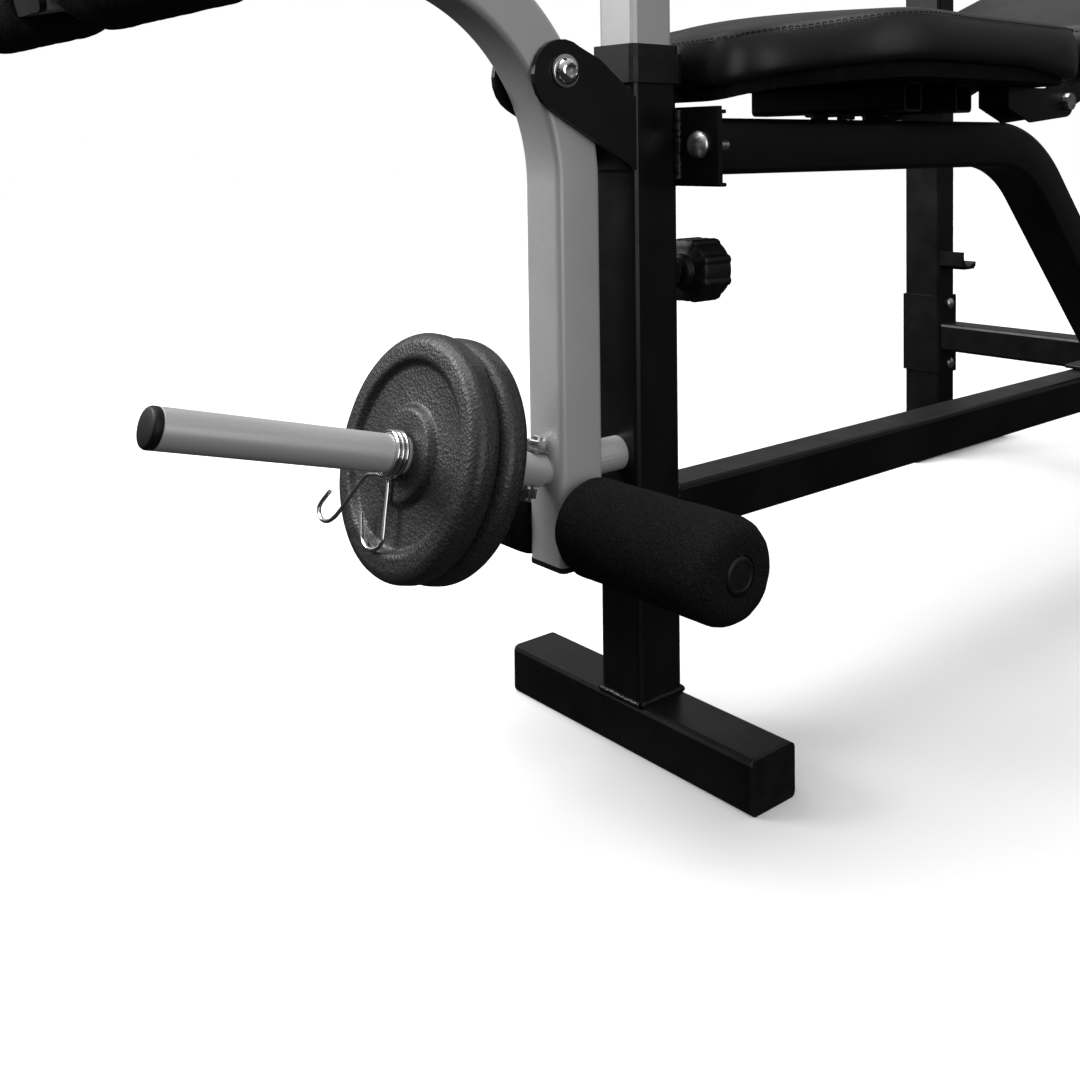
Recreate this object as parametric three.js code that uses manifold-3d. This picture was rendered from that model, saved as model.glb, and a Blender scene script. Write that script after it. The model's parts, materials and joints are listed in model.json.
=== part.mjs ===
// An adjustable weight bench. A black steel frame carries a padded seat, a
// backrest that tilts on a bar laid in hooks, two telescoping barbell posts,
// an arm-curl pad on a post of its own, and a swinging leg developer with foam
// rollers and a horn for weight plates.
// Millimetres, +Z up, +Y towards the head end, origin under the front foot.

import * as THREE from 'three';
import { mergeVertices } from 'three/addons/utils/BufferGeometryUtils.js';
import Module from 'manifold-3d';

const wasm = await Module();
wasm.setup();

// ---------------------------------------------------------------- dimensions

const GAP = 0.3; // left between two pieces that touch
const WALL = 2; // steel tube wall
const CORNER = 4; // outside corner radius of a straight tube

const FOOT = { half: 137, deep: 45, high: 40, cap: 3 };
const POST = { size: 45, top: 530 };
const COLLAR = { size: 52, rimSize: 48, bottom: 512, shoulder: 534, top: 541 };

const PIVOT = { y: -90, z: 517.7, shank: 6, hole: 6.4 };
const EAR = { inner: 21.5, outer: 25.5, noseY: -91, noseZ: 514, noseRadius: 26, low: 447, high: 501 };

const LEG = {
  size: 40, y: -73, bottom: 162, bendZ: 437.6, bendRadius: 158, bendDegrees: 101.8, reach: 172.8,
};
const ROLLER = {
  radius: 36, inner: 22, outer: 175, bore: 13.3, round: 7, rod: 12.7, rodEnd: 172, hole: 13.1,
};
const LOWER_ROD = { y: -73, z: 192 };
const UPPER_ROD = { y: -403, z: 563 };
const STOP = { radius: 13, z: 231 };

const HORN = { rootY: -93.3, rootZ: 230.2, tilt: 15.2, radius: 12.7, length: 289, ringAt: 78, boltAt: 12 };
const PLATE = { radius: 82.5, thick: 22.4, bore: 13.4, boss: 31, recess: 63.5, depth: 5 };
const FAR_PLATE_AT = HORN.ringAt + GAP;
const NEAR_PLATE_AT = FAR_PLATE_AT + PLATE.thick + GAP;
const SPRING = { coil: 14.5, wire: 1.45, from: 126, to: 135.6, startDegrees: 190, sweepDegrees: -1010 };

const FLANGE = { front: 22.8, thick: 4.5, half: 65, low: 435.5, high: 494, boltX: 45, boltZ: 465 };
const SEAT_TUBE = { wide: 50, high: 45, start: 28.5, z: 464, bendY: 478, bendRadius: 142.5, bendDegrees: 47 };
const SEAT_FLANGE = { front: 27.7, thick: 4, half: 62, low: 436, high: 489, lip: 8 };
const STRINGER = { size: 40, low: 160, end: 904.7 };
const FOOT_PLATE = { from: 700, to: 850, thick: 4.7, half: 25 };

const RAIL = { size: 25, half: 86.4, low: 492, fronts: [226, 302] };
const SEAT = { front: 33, rear: 450, half: 150, noseHalf: 62, boardLow: 517.3, low: 530, high: 570, drop: 23 };
const BOARD_THICK = 12;
const BOARD_INSET = 12;

const UPRIGHT = { x: 365, y: 925, wide: 60, deep: 40, top: 900 };
const SLEEVE = { wall: 3, low: 127, high: 241 };
const CROSSBAR = { size: 40, low: 161 };
const REAR_FOOT = { wide: 50, high: 40, from: 858, to: 1093 };

const HINGE = { y: 490, z: 505, x: 73, shank: 5, hole: 5.4, degrees: 20 };
const HINGE_EAR = { clear: 0.8, thick: 2.5, front: 385, plateEnd: 436, low: 484, nose: 15 };
const BACK = {
  railSize: 25, railFrom: -12, railTo: 610, crossAt: [150, 560],
  from: 36, to: 705, half: 132, thick: 42, round: 38,
};
const BAR = { radius: 12.5, half: 330, hookFrom: 297, hookClear: 0.6, hookWall: 4.4 };
const HOOK_HEIGHTS = [300, 480, 790];

const RACK = { wide: 54, deep: 34, bottom: 560, top: 1000, knobZ: 860 };
const SADDLE = { radius: 16, wall: 5, half: 25, lowArm: 10, highArm: 52 };

const KNOB = {
  radius: 26, lobe: 1.3, lobes: 8, from: 25.5, to: 59.5, screw: 5, neck: 11, hole: 5.5, nut: 13, nutLength: 12,
};
const POST_KNOB_Z = 365;

const CURL = { size: 40, bottom: 240, padY: -2, padZ: 910, degrees: 52, plate: 50, half: 150, long: 115, thick: 44 };

// -------------------------------------------------------------------- colours

const FINISH = {
  blackCoat: { color: 0x161719, roughness: 0.42, metalness: 0.3 },
  silverPaint: { color: 0x9a9c9e, roughness: 0.4, metalness: 0.5 },
  plastic: { color: 0x131314, roughness: 0.6, metalness: 0 },
  vinyl: { color: 0x18181a, roughness: 0.45, metalness: 0 },
  foam: { color: 0x1c1c1d, roughness: 0.95, metalness: 0 },
  castIron: { color: 0x232426, roughness: 0.6, metalness: 0.4 },
  zinc: { color: 0xc3c5c8, roughness: 0.35, metalness: 0.9 },
  chrome: { color: 0xdadcdf, roughness: 0.12, metalness: 1 },
  board: { color: 0x141414, roughness: 0.8, metalness: 0 },
};

// -------------------------------------------------------------------- helpers

const radians = THREE.MathUtils.degToRad;

function toSolid(geometry) {
  const bare = geometry.clone();
  bare.deleteAttribute('normal');
  bare.deleteAttribute('uv');
  const merged = mergeVertices(bare, 1e-4);
  const mesh = new wasm.Mesh({
    numProp: 3,
    vertProperties: new Float32Array(merged.attributes.position.array),
    triVerts: new Uint32Array(merged.index.array),
  });
  return new wasm.Manifold(mesh);
}

function toGeometry(solid) {
  const mesh = solid.getMesh();
  const geometry = new THREE.BufferGeometry();
  geometry.setAttribute('position', new THREE.BufferAttribute(mesh.vertProperties, 3));
  geometry.setIndex(new THREE.BufferAttribute(mesh.triVerts, 1));
  geometry.computeVertexNormals();
  return geometry;
}

function join(first, ...others) {
  return toGeometry(others.reduce((sum, next) => sum.add(toSolid(next)), toSolid(first)));
}

function cut(first, ...tools) {
  return toGeometry(tools.reduce((rest, tool) => rest.subtract(toSolid(tool)), toSolid(first)));
}

function common(first, second) {
  return toGeometry(toSolid(first).intersect(toSolid(second)));
}

function block([x0, x1], [y0, y1], [z0, z1]) {
  const geometry = new THREE.BoxGeometry(x1 - x0, y1 - y0, z1 - z0);
  return geometry.translate((x0 + x1) / 2, (y0 + y1) / 2, (z0 + z1) / 2);
}

// A section drawn in a plane and drawn out along an axis. Along x the section
// lies in (y, z), along y in (z, x), and along z in (x, y).
function prism(shape, axis, from, to, curveSegments = 6) {
  const geometry = new THREE.ExtrudeGeometry(shape, { depth: to - from, bevelEnabled: false, curveSegments });
  geometry.translate(0, 0, from);
  const x = new THREE.Vector3(1, 0, 0);
  const y = new THREE.Vector3(0, 1, 0);
  const z = new THREE.Vector3(0, 0, 1);
  const basis = new THREE.Matrix4();
  if (axis === 'x') basis.makeBasis(y, z, x);
  if (axis === 'y') basis.makeBasis(z, x, y);
  return geometry.applyMatrix4(basis);
}

function traceRoundedRect(path, width, height, radius) {
  const w = width / 2;
  const h = height / 2;
  const quarter = Math.PI / 2;
  path.moveTo(w, -h + radius);
  path.absarc(w - radius, h - radius, radius, 0, quarter, false);
  path.absarc(-w + radius, h - radius, radius, quarter, 2 * quarter, false);
  path.absarc(-w + radius, -h + radius, radius, 2 * quarter, 3 * quarter, false);
  path.absarc(w - radius, -h + radius, radius, 3 * quarter, 4 * quarter, false);
  return path;
}

function roundedRect(width, height, radius) {
  return traceRoundedRect(new THREE.Shape(), width, height, radius);
}

// A straight rectangular tube, open at both ends, about a line through at.
function tube(axis, at, width, height, from, to) {
  const section = roundedRect(width, height, CORNER);
  section.holes.push(traceRoundedRect(new THREE.Path(), width - 2 * WALL, height - 2 * WALL, CORNER - WALL));
  const geometry = prism(section, axis, from, to, 1);
  const [x, y, z] = at;
  return geometry.translate(axis === 'x' ? 0 : x, axis === 'y' ? 0 : y, axis === 'z' ? 0 : z);
}

// A turned piece: profile points are [radius, distance along the axis].
function turned(profile, axis, at, segments = 20) {
  const points = profile.map(([radius, along]) => new THREE.Vector2(radius, along));
  const geometry = new THREE.LatheGeometry(points, segments);
  if (axis === 'x') geometry.rotateZ(-Math.PI / 2);
  if (axis === 'z') geometry.rotateX(Math.PI / 2);
  return geometry.translate(...at);
}

function pin(axis, at, radius, from, to, segments = 16) {
  return turned([[0, from], [radius, from], [radius, to], [0, to]], axis, at, segments);
}

// The side view of a tube with one bend, as a band of half-width half about its
// centreline. Overrun makes both ends longer, for cutting out the hollow.
function bentBand({ centre, radius, from, to, before, after }, half, overrun = 0) {
  const turn = Math.sign(to - from);
  const spot = (degrees, offset, along) => {
    const angle = radians(degrees);
    const reach = radius + offset;
    return [
      centre[0] + reach * Math.cos(angle) - turn * along * Math.sin(angle),
      centre[1] + reach * Math.sin(angle) + turn * along * Math.cos(angle),
    ];
  };
  const shape = new THREE.Shape();
  shape.moveTo(...spot(from, half, -before - overrun));
  shape.lineTo(...spot(from, half, 0));
  shape.absarc(...centre, radius + half, radians(from), radians(to), turn < 0);
  shape.lineTo(...spot(to, half, after + overrun));
  shape.lineTo(...spot(to, -half, after + overrun));
  shape.lineTo(...spot(to, -half, 0));
  shape.absarc(...centre, radius - half, radians(to), radians(from), turn > 0);
  shape.lineTo(...spot(from, -half, -before - overrun));
  return shape;
}

function bentTube(bend, width, height) {
  const outside = prism(bentBand(bend, height / 2), 'x', -width / 2, width / 2, 7);
  const hollow = bentBand(bend, height / 2 - WALL, 5);
  return cut(outside, prism(hollow, 'x', -width / 2 + WALL, width / 2 - WALL, 7));
}

const bench = new THREE.Group();

function add(name, geometry, finish, parent = bench) {
  const mesh = new THREE.Mesh(geometry, new THREE.MeshStandardMaterial(FINISH[finish]));
  mesh.name = name;
  parent.add(mesh);
  return mesh;
}

const SIDES = [['right', 1], ['left', -1]];

// -------------------------------------------------------------- front of frame

function addFrontFoot() {
  const tubeEnd = FOOT.half - FOOT.cap;
  add('front_foot', tube('x', [0, 0, FOOT.high / 2], FOOT.deep, FOOT.high, -tubeEnd, tubeEnd), 'blackCoat');
  const plug = 15;
  for (const [side, sign] of SIDES) {
    const head = prism(roundedRect(FOOT.deep, FOOT.high, CORNER), 'x', GAP, FOOT.cap, 1);
    const inside = roundedRect(FOOT.deep - 2 * WALL - 0.8, FOOT.high - 2 * WALL - 0.8, 2);
    const cap = join(head, prism(inside, 'x', -plug, 1, 1));
    if (sign < 0) cap.rotateZ(Math.PI);
    cap.translate(sign * tubeEnd, 0, FOOT.high / 2);
    add(`front_foot_cap_${side}`, cap, 'plastic');
  }
}

function addFrontPost() {
  const half = POST.size / 2;
  const nut = pin('y', [0, half, POST_KNOB_Z], KNOB.nut, -1, KNOB.nutLength, 6);
  const hole = pin('y', [0, half, POST_KNOB_Z], KNOB.hole, -5, 20);
  const post = tube('z', [0, 0, 0], POST.size, POST.size, FOOT.high + GAP, POST.top);
  add('front_post', cut(join(post, nut), hole), 'blackCoat');

  const body = prism(roundedRect(COLLAR.size, COLLAR.size, 5), 'z', COLLAR.bottom, COLLAR.shoulder, 1);
  const rim = prism(roundedRect(COLLAR.rimSize, COLLAR.rimSize, 5), 'z', COLLAR.shoulder - 1, COLLAR.top, 1);
  const pocket = roundedRect(POST.size + 2 * GAP, POST.size + 2 * GAP, CORNER);
  const mouth = roundedRect(CURL.size + 1, CURL.size + 1, CORNER);
  const collar = cut(
    join(body, rim),
    prism(pocket, 'z', COLLAR.bottom - 1, POST.top + GAP, 1),
    prism(mouth, 'z', COLLAR.bottom, COLLAR.top + 1, 1),
  );
  add('post_collar', collar, 'plastic');
}

function addPivotBracket() {
  const rear = -POST.size / 2 - GAP;
  const web = 4.3;
  const outline = new THREE.Shape();
  outline.moveTo(rear, EAR.high);
  outline.lineTo(-57, 527);
  outline.absarc(EAR.noseY, EAR.noseZ, EAR.noseRadius, radians(55), radians(240), false);
  outline.lineTo(rear, EAR.low);
  const bracket = join(
    prism(outline, 'x', EAR.inner, EAR.outer, 6),
    prism(outline, 'x', -EAR.outer, -EAR.inner, 6),
    block([-EAR.outer, EAR.outer], [rear - web, rear], [EAR.low, EAR.high]),
  );
  add('pivot_bracket', cut(bracket, pin('x', [0, PIVOT.y, PIVOT.z], PIVOT.hole, -40, 40)), 'blackCoat');

  const seat = EAR.outer + GAP;
  const bolt = [
    [0, -38], [PIVOT.shank, -38], [PIVOT.shank, -36], [10.5, -36], [10.5, -seat], [PIVOT.shank, -seat],
    [PIVOT.shank, seat], [11.5, seat], [11.5, seat + 2], [8.5, seat + 6.5], [5, seat + 7.5], [0, seat + 7.5],
  ];
  add('pivot_bolt', turned(bolt, 'x', [0, PIVOT.y, PIVOT.z]), 'chrome');
}

// ------------------------------------------------------- seat tube and stringer

function flangeHoles() {
  return SIDES.map(([, sign]) => pin('y', [sign * FLANGE.boltX, 0, FLANGE.boltZ], 4.6, 10, 60));
}

function addFlanges() {
  const plate = block(
    [-FLANGE.half, FLANGE.half],
    [FLANGE.front, FLANGE.front + FLANGE.thick],
    [FLANGE.low, FLANGE.high],
  );
  add('post_flange', cut(plate, ...flangeHoles()), 'blackCoat');

  const head = FLANGE.front - GAP;
  const nut = SEAT_FLANGE.front + SEAT_FLANGE.thick + GAP;
  const bolt = [
    [0, head - 6], [5.5, head - 5.2], [9.5, head - 2.6], [11, head], [4, head], [4, nut],
    [8, nut], [8, nut + 7], [4, nut + 7], [4, nut + 11], [0, nut + 11],
  ];
  for (const [side, sign] of SIDES) {
    add(`flange_bolt_${side}`, turned(bolt, 'y', [sign * FLANGE.boltX, 0, FLANGE.boltZ], 16), 'zinc');
  }
}

function addSeatTube() {
  const floor = STRINGER.low + STRINGER.size + GAP;
  const bend = {
    centre: [SEAT_TUBE.bendY, SEAT_TUBE.z - SEAT_TUBE.bendRadius],
    radius: SEAT_TUBE.bendRadius,
    from: 90,
    to: 90 - SEAT_TUBE.bendDegrees,
    before: SEAT_TUBE.bendY - SEAT_TUBE.start,
    after: 360,
  };
  const footTop = floor + FOOT_PLATE.thick;
  const leg = cut(
    bentTube(bend, SEAT_TUBE.wide, SEAT_TUBE.high),
    block([-50, 50], [600, 1000], [0, footTop - 1]),
  );
  const footPlate = block([-FOOT_PLATE.half, FOOT_PLATE.half], [FOOT_PLATE.from, FOOT_PLATE.to], [floor, footTop]);
  const { front, thick, half, low, high, lip } = SEAT_FLANGE;
  const flange = block([-half, half], [front, front + thick], [low, high]);
  const lips = [low - 2.5, high].map((z) => block([-half, half], [front, front + lip], [z, z + 2.5 + 0.001]));
  const vent = pin('y', [0, 0, SEAT_TUBE.z], 12, 20, 60);
  add('seat_frame_tube', cut(join(leg, footPlate, flange, ...lips), vent, ...flangeHoles()), 'blackCoat');

  const middle = [0, 0, STRINGER.low + STRINGER.size / 2];
  const start = POST.size / 2 + GAP;
  add('stringer', tube('y', middle, STRINGER.size, STRINGER.size, start, STRINGER.end), 'blackCoat');
}

// ------------------------------------------------------------------------ seat

// The seat seen from above: a narrow nose that flares to a broad, rounded rear.
function seatOutline(inset) {
  const nose = SEAT.noseHalf - inset;
  const half = SEAT.half - inset;
  const front = SEAT.front + inset;
  const rear = SEAT.rear - inset;
  const shape = new THREE.Shape();
  shape.moveTo(nose - 24, front);
  shape.quadraticCurveTo(nose, front, nose + 3, front + 30);
  shape.bezierCurveTo(nose + 12, 110, half, 112, half, 205);
  shape.lineTo(half, rear - 75);
  shape.quadraticCurveTo(half, rear, half - 75, rear);
  shape.lineTo(75 - half, rear);
  shape.quadraticCurveTo(-half, rear, -half, rear - 75);
  shape.lineTo(-half, 205);
  shape.bezierCurveTo(-half, 112, -nose - 12, 110, -nose - 3, front + 30);
  shape.quadraticCurveTo(-nose, front, 24 - nose, front);
  return shape;
}

// The seat seen from the side: level, with a nose that falls away.
function seatSide(low, high) {
  const level = 190;
  const front = SEAT.front - 5;
  const back = SEAT.rear + 5;
  const shape = new THREE.Shape();
  shape.moveTo(back, low);
  shape.lineTo(back, high);
  shape.lineTo(level, high);
  shape.quadraticCurveTo(110, high, front, high - SEAT.drop);
  shape.lineTo(front, low - SEAT.drop);
  shape.quadraticCurveTo(110, low, level, low);
  return shape;
}

function seatLayer(inset, low, high) {
  const wide = SEAT.half + 20;
  return common(
    prism(seatOutline(inset), 'z', 400, 700, 6),
    prism(seatSide(low, high), 'x', -wide, wide, 5),
  );
}

function addSeat() {
  const names = ['front', 'rear'];
  RAIL.fronts.forEach((front, i) => {
    const middle = [0, front + RAIL.size / 2, RAIL.low + RAIL.size / 2];
    const rail = tube('x', middle, RAIL.size, RAIL.size, -RAIL.half, RAIL.half);
    const top = SEAT_TUBE.z + SEAT_TUBE.high / 2 + GAP;
    const pads = SIDES.map(([, sign]) => pin('z', [sign * 15, middle[1], 0], 8, top, RAIL.low + 1, 6));
    add(`seat_rail_${names[i]}`, join(rail, ...pads), 'blackCoat');
  });
  add('seat_board', seatLayer(BOARD_INSET, SEAT.boardLow, SEAT.boardLow + BOARD_THICK), 'board');
  add('seat_cushion', seatLayer(0, SEAT.low, SEAT.high), 'vinyl');
}

// -------------------------------------------------------------------- backrest

function addHingeBrackets() {
  const top = SEAT.boardLow - GAP;
  const outline = new THREE.Shape();
  outline.moveTo(HINGE_EAR.front, top);
  outline.lineTo(HINGE_EAR.front, HINGE_EAR.low + 14);
  outline.lineTo(HINGE_EAR.front + 40, HINGE_EAR.low);
  outline.lineTo(HINGE.y, HINGE.z - HINGE_EAR.nose);
  outline.absarc(HINGE.y, HINGE.z, HINGE_EAR.nose, radians(-90), radians(60), false);
  outline.lineTo(HINGE_EAR.plateEnd, top);
  const inside = BACK.railSize / 2 + HINGE_EAR.clear;
  const outside = inside + HINGE_EAR.thick;
  for (const [side, sign] of SIDES) {
    const at = sign * HINGE.x;
    const bracket = join(
      prism(outline, 'x', at + inside, at + outside, 4),
      prism(outline, 'x', at - outside, at - inside, 4),
      block([at - outside, at + outside], [HINGE_EAR.front, HINGE_EAR.plateEnd], [top - HINGE_EAR.thick, top]),
    );
    const hole = pin('x', [at, HINGE.y, HINGE.z], HINGE.hole, -30, 30);
    add(`hinge_bracket_${side}`, cut(bracket, hole), 'blackCoat');

    const seat = outside + GAP;
    const bolt = [
      [0, -seat - 10], [HINGE.shank, -seat - 10], [HINGE.shank, -seat - 7], [8, -seat - 7], [8, -seat],
      [HINGE.shank, -seat], [HINGE.shank, seat], [8.5, seat], [8.5, seat + 6], [0, seat + 6],
    ];
    const outward = bolt.map(([radius, along]) => [radius, sign * along]);
    if (sign < 0) outward.reverse();
    add(`hinge_bolt_${side}`, turned(outward, 'x', [at, HINGE.y, HINGE.z], 12), 'zinc');
  }
}

function padSlab(half, from, to, low, high, round) {
  const outline = roundedRect(2 * half, to - from, round);
  return prism(outline, 'z', low, high, 3).translate(0, (from + to) / 2, 0);
}

function addBackrest() {
  const group = new THREE.Group();
  group.position.set(0, HINGE.y, HINGE.z);
  group.rotation.x = radians(HINGE.degrees);
  bench.add(group);

  const size = BACK.railSize;
  const rails = SIDES.map(([, sign]) => {
    return tube('y', [sign * HINGE.x, 0, 0], size, size, BACK.railFrom, BACK.railTo);
  });
  const reach = HINGE.x - size / 2 + 1;
  const crosses = BACK.crossAt.map((y) => block([-reach, reach], [y, y + size], [-size / 2 + 1, size / 2 - 1]));
  const holes = SIDES.map(([, sign]) => pin('x', [sign * HINGE.x, 0, 0], HINGE.hole, -20, 20));
  add('backrest_frame', cut(join(rails[0], ...crosses, rails[1]), ...holes), 'blackCoat', group);

  const low = size / 2 + GAP;
  const { half, from, to, round } = BACK;
  const inset = BOARD_INSET;
  const board = padSlab(half - inset, from + inset, to - inset, low, low + BOARD_THICK, round - inset);
  add('backrest_board', board, 'board', group);
  const foam = low + BOARD_THICK + GAP;
  add('backrest_cushion', padSlab(half, from, to, foam, foam + BACK.thick, round), 'vinyl', group);
}

// --------------------------------------------------------- rear of frame, rack

// Where the support bar lies: under the backrest rails, in line with the uprights.
function barHeight() {
  const below = BACK.railSize / 2 + GAP + BAR.radius;
  const tilt = radians(HINGE.degrees);
  return HINGE.z + (UPRIGHT.y - HINGE.y) * Math.tan(tilt) - below / Math.cos(tilt);
}

// A hook open upwards and rearwards, drawn about the centre of the bar it holds.
function hookOutline() {
  const radius = BAR.radius + BAR.hookClear;
  const out = radius + BAR.hookWall;
  const lip = [radius * Math.cos(radians(-55)), radius * Math.sin(radians(-55))];
  const rise = (out - lip[0]) * Math.tan(radians(HINGE.degrees));
  const shape = new THREE.Shape();
  shape.moveTo(-out, 8);
  shape.lineTo(-out, -out + 5);
  shape.lineTo(-out + 5, -out);
  shape.lineTo(out - 5, -out);
  shape.lineTo(out, -out + 5);
  shape.lineTo(out, lip[1] + rise);
  shape.lineTo(...lip);
  shape.absarc(0, 0, radius, radians(-55), radians(-180), true);
  shape.lineTo(-radius, 8);
  return shape;
}

function saddleOutline() {
  const { radius, wall, lowArm, highArm } = SADDLE;
  const out = radius + wall;
  const shape = new THREE.Shape();
  shape.moveTo(-out, lowArm);
  shape.lineTo(-out, -out);
  shape.lineTo(out, -out);
  shape.lineTo(out, highArm);
  shape.lineTo(radius, highArm);
  shape.absarc(0, 0, radius, 0, -Math.PI, true);
  shape.lineTo(-radius, lowArm);
  return shape;
}

function addRearFrame() {
  const { x, y, wide, deep, top } = UPRIGHT;
  const inner = x - wide / 2;
  const bar = barHeight();
  for (const [side, sign] of SIDES) {
    const post = tube('z', [sign * x, y, 0], wide, deep, REAR_FOOT.high + GAP, top);
    const hooks = [...HOOK_HEIGHTS, bar].map((z) => {
      const ends = [sign * BAR.hookFrom, sign * (inner + 1)].sort((a, b) => a - b);
      return prism(hookOutline(), 'x', ...ends, 4).translate(0, y, z);
    });
    const outer = sign * (x + wide / 2);
    const nut = pin('x', [outer, y, RACK.knobZ], KNOB.nut, ...nutSpan(sign), 6);
    const hole = pin('x', [outer, y, RACK.knobZ], KNOB.hole, -20, 20);
    add(`upright_${side}`, cut(join(post, ...hooks, nut), hole), 'blackCoat');

    const section = roundedRect(wide + 2 * (SLEEVE.wall + GAP), deep + 2 * (SLEEVE.wall + GAP), 5);
    section.holes.push(traceRoundedRect(new THREE.Path(), wide + 2 * GAP, deep + 2 * GAP, CORNER));
    const sleeve = prism(section, 'z', SLEEVE.low, SLEEVE.high, 1).translate(sign * x, y, 0);
    add(`upright_sleeve_${side}`, sleeve, 'blackCoat');

    const { from, to, high } = REAR_FOOT;
    add(`rear_foot_${side}`, tube('y', [sign * x, 0, high / 2], high, REAR_FOOT.wide, from, to), 'blackCoat');
  }
  const end = inner - SLEEVE.wall - 2 * GAP;
  const middle = [0, y, CROSSBAR.low + CROSSBAR.size / 2];
  add('rear_crossbar', tube('x', middle, CROSSBAR.size, CROSSBAR.size, -end, end), 'blackCoat');
  add('support_bar', turned([
    [BAR.radius - WALL, -BAR.half], [BAR.radius, -BAR.half], [BAR.radius, BAR.half],
    [BAR.radius - WALL, BAR.half], [BAR.radius - WALL, -BAR.half],
  ], 'x', [0, y, bar]), 'zinc');
}

function nutSpan(sign) {
  return sign > 0 ? [-1, KNOB.nutLength] : [-KNOB.nutLength, 1];
}

function addRackPosts() {
  const cradle = RACK.top + SADDLE.radius + SADDLE.wall - 1;
  for (const [side, sign] of SIDES) {
    const post = tube('z', [0, UPRIGHT.y, 0], RACK.wide, RACK.deep, RACK.bottom, RACK.top);
    const saddle = prism(saddleOutline(), 'x', -SADDLE.half, SADDLE.half, 6).translate(0, UPRIGHT.y, cradle);
    const rack = join(post, saddle).translate(sign * UPRIGHT.x, 0, 0);
    add(`rack_post_${side}`, rack, 'silverPaint');
  }
}

// ----------------------------------------------------------------------- knobs

function lobedOutline() {
  const shape = new THREE.Shape();
  const steps = 4 * KNOB.lobes;
  for (let i = 0; i < steps; i += 1) {
    const angle = (2 * Math.PI * i) / steps;
    const radius = KNOB.radius + KNOB.lobe * Math.cos(KNOB.lobes * angle);
    const point = [radius * Math.cos(angle), radius * Math.sin(angle)];
    if (i === 0) shape.moveTo(...point);
    else shape.lineTo(...point);
  }
  shape.closePath();
  return shape;
}

// A clamping knob along +y; the face it screws into lies at y = 0.
function knobShape() {
  return join(
    prism(lobedOutline(), 'y', KNOB.from, KNOB.to),
    pin('y', [0, 0, 0], KNOB.neck, KNOB.from - 6, KNOB.from + 1),
    pin('y', [0, 0, 0], KNOB.screw, -WALL - 0.2, KNOB.from),
  );
}

function addKnobs() {
  add('post_knob', knobShape(), 'plastic').position.set(0, POST.size / 2, POST_KNOB_Z);
  const outer = UPRIGHT.x + UPRIGHT.wide / 2;
  for (const [side, sign] of SIDES) {
    const knob = add(`rack_knob_${side}`, knobShape(), 'plastic');
    knob.position.set(sign * outer, UPRIGHT.y, RACK.knobZ);
    knob.rotation.z = (-sign * Math.PI) / 2;
  }
}

// ---------------------------------------------------------------- arm-curl pad

function addArmCurl() {
  const group = new THREE.Group();
  group.position.set(0, CURL.padY, CURL.padZ);
  group.rotation.x = radians(CURL.degrees);
  bench.add(group);
  group.updateMatrixWorld();

  const plate = block([-CURL.plate, CURL.plate], [-CURL.plate, CURL.plate], [-4, 0]);
  const above = block([-200, 200], [-400, 400], [-2, 400]);
  plate.applyMatrix4(group.matrixWorld);
  above.applyMatrix4(group.matrixWorld);
  const post = tube('z', [0, 0, 0], CURL.size, CURL.size, CURL.bottom, CURL.padZ + 60);
  add('arm_curl_post', join(cut(post, above), plate), 'silverPaint');

  const { half, long } = CURL;
  const inset = BOARD_INSET;
  const board = padSlab(half - inset, inset - long, long - inset, GAP, GAP + BOARD_THICK, 20);
  add('arm_curl_board', board, 'board', group);
  const foam = BOARD_THICK + 2 * GAP;
  add('arm_curl_cushion', padSlab(half, -long, long, foam, foam + CURL.thick, 32), 'vinyl', group);
}

// --------------------------------------------------------------- leg developer

// The horn's own frame: +z runs out along the horn from the leg tube's face.
const hornFrame = new THREE.Matrix4()
  .makeRotationX(radians(90 - HORN.tilt))
  .setPosition(0, HORN.rootY, HORN.rootZ);

function alongHorn(geometry) {
  return geometry.applyMatrix4(hornFrame);
}

const legBend = {
  centre: [LEG.y - LEG.bendRadius, LEG.bendZ],
  radius: LEG.bendRadius,
  from: 0,
  to: LEG.bendDegrees,
  before: LEG.bendZ - LEG.bottom,
  after: LEG.reach,
};

function addLegTube() {
  const spigot = alongHorn(pin('z', [0, 0, 0], HORN.radius - WALL - 0.5, -4, 45));
  const leg = cut(
    join(bentTube(legBend, LEG.size, LEG.size), spigot),
    pin('x', [0, PIVOT.y, PIVOT.z], PIVOT.hole, -40, 40),
    pin('x', [0, LOWER_ROD.y, LOWER_ROD.z], ROLLER.hole, -40, 40, 20),
    pin('x', [0, UPPER_ROD.y, UPPER_ROD.z], ROLLER.hole, -40, 40, 20),
    alongHorn(pin('y', [0, 0, HORN.boltAt], 4.4, -30, 30)),
  );
  add('leg_tube', leg, 'silverPaint');

  // A plug cap along +z whose head starts at z = 0.
  const cap = () => join(
    prism(roundedRect(LEG.size, LEG.size, CORNER), 'z', GAP, 4, 1),
    prism(roundedRect(LEG.size - 2 * WALL - 0.8, LEG.size - 2 * WALL - 0.8, 2), 'z', -8, 1, 1),
  );
  const lower = add('leg_tube_cap_lower', cap(), 'plastic');
  lower.position.set(0, LEG.y, LEG.bottom);
  lower.rotation.x = Math.PI;
  const angle = radians(LEG.bendDegrees);
  const upper = add('leg_tube_cap_upper', cap(), 'plastic');
  upper.position.set(
    0,
    legBend.centre[0] + LEG.bendRadius * Math.cos(angle) - LEG.reach * Math.sin(angle),
    legBend.centre[1] + LEG.bendRadius * Math.sin(angle) + LEG.reach * Math.cos(angle),
  );
  upper.rotation.x = angle;

  const from = LEG.y + LEG.size / 2 + GAP;
  const to = -POST.size / 2 - GAP;
  add('bump_stop', pin('y', [0, 0, STOP.z], STOP.radius, from, to, 24), 'silverPaint');
}

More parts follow.
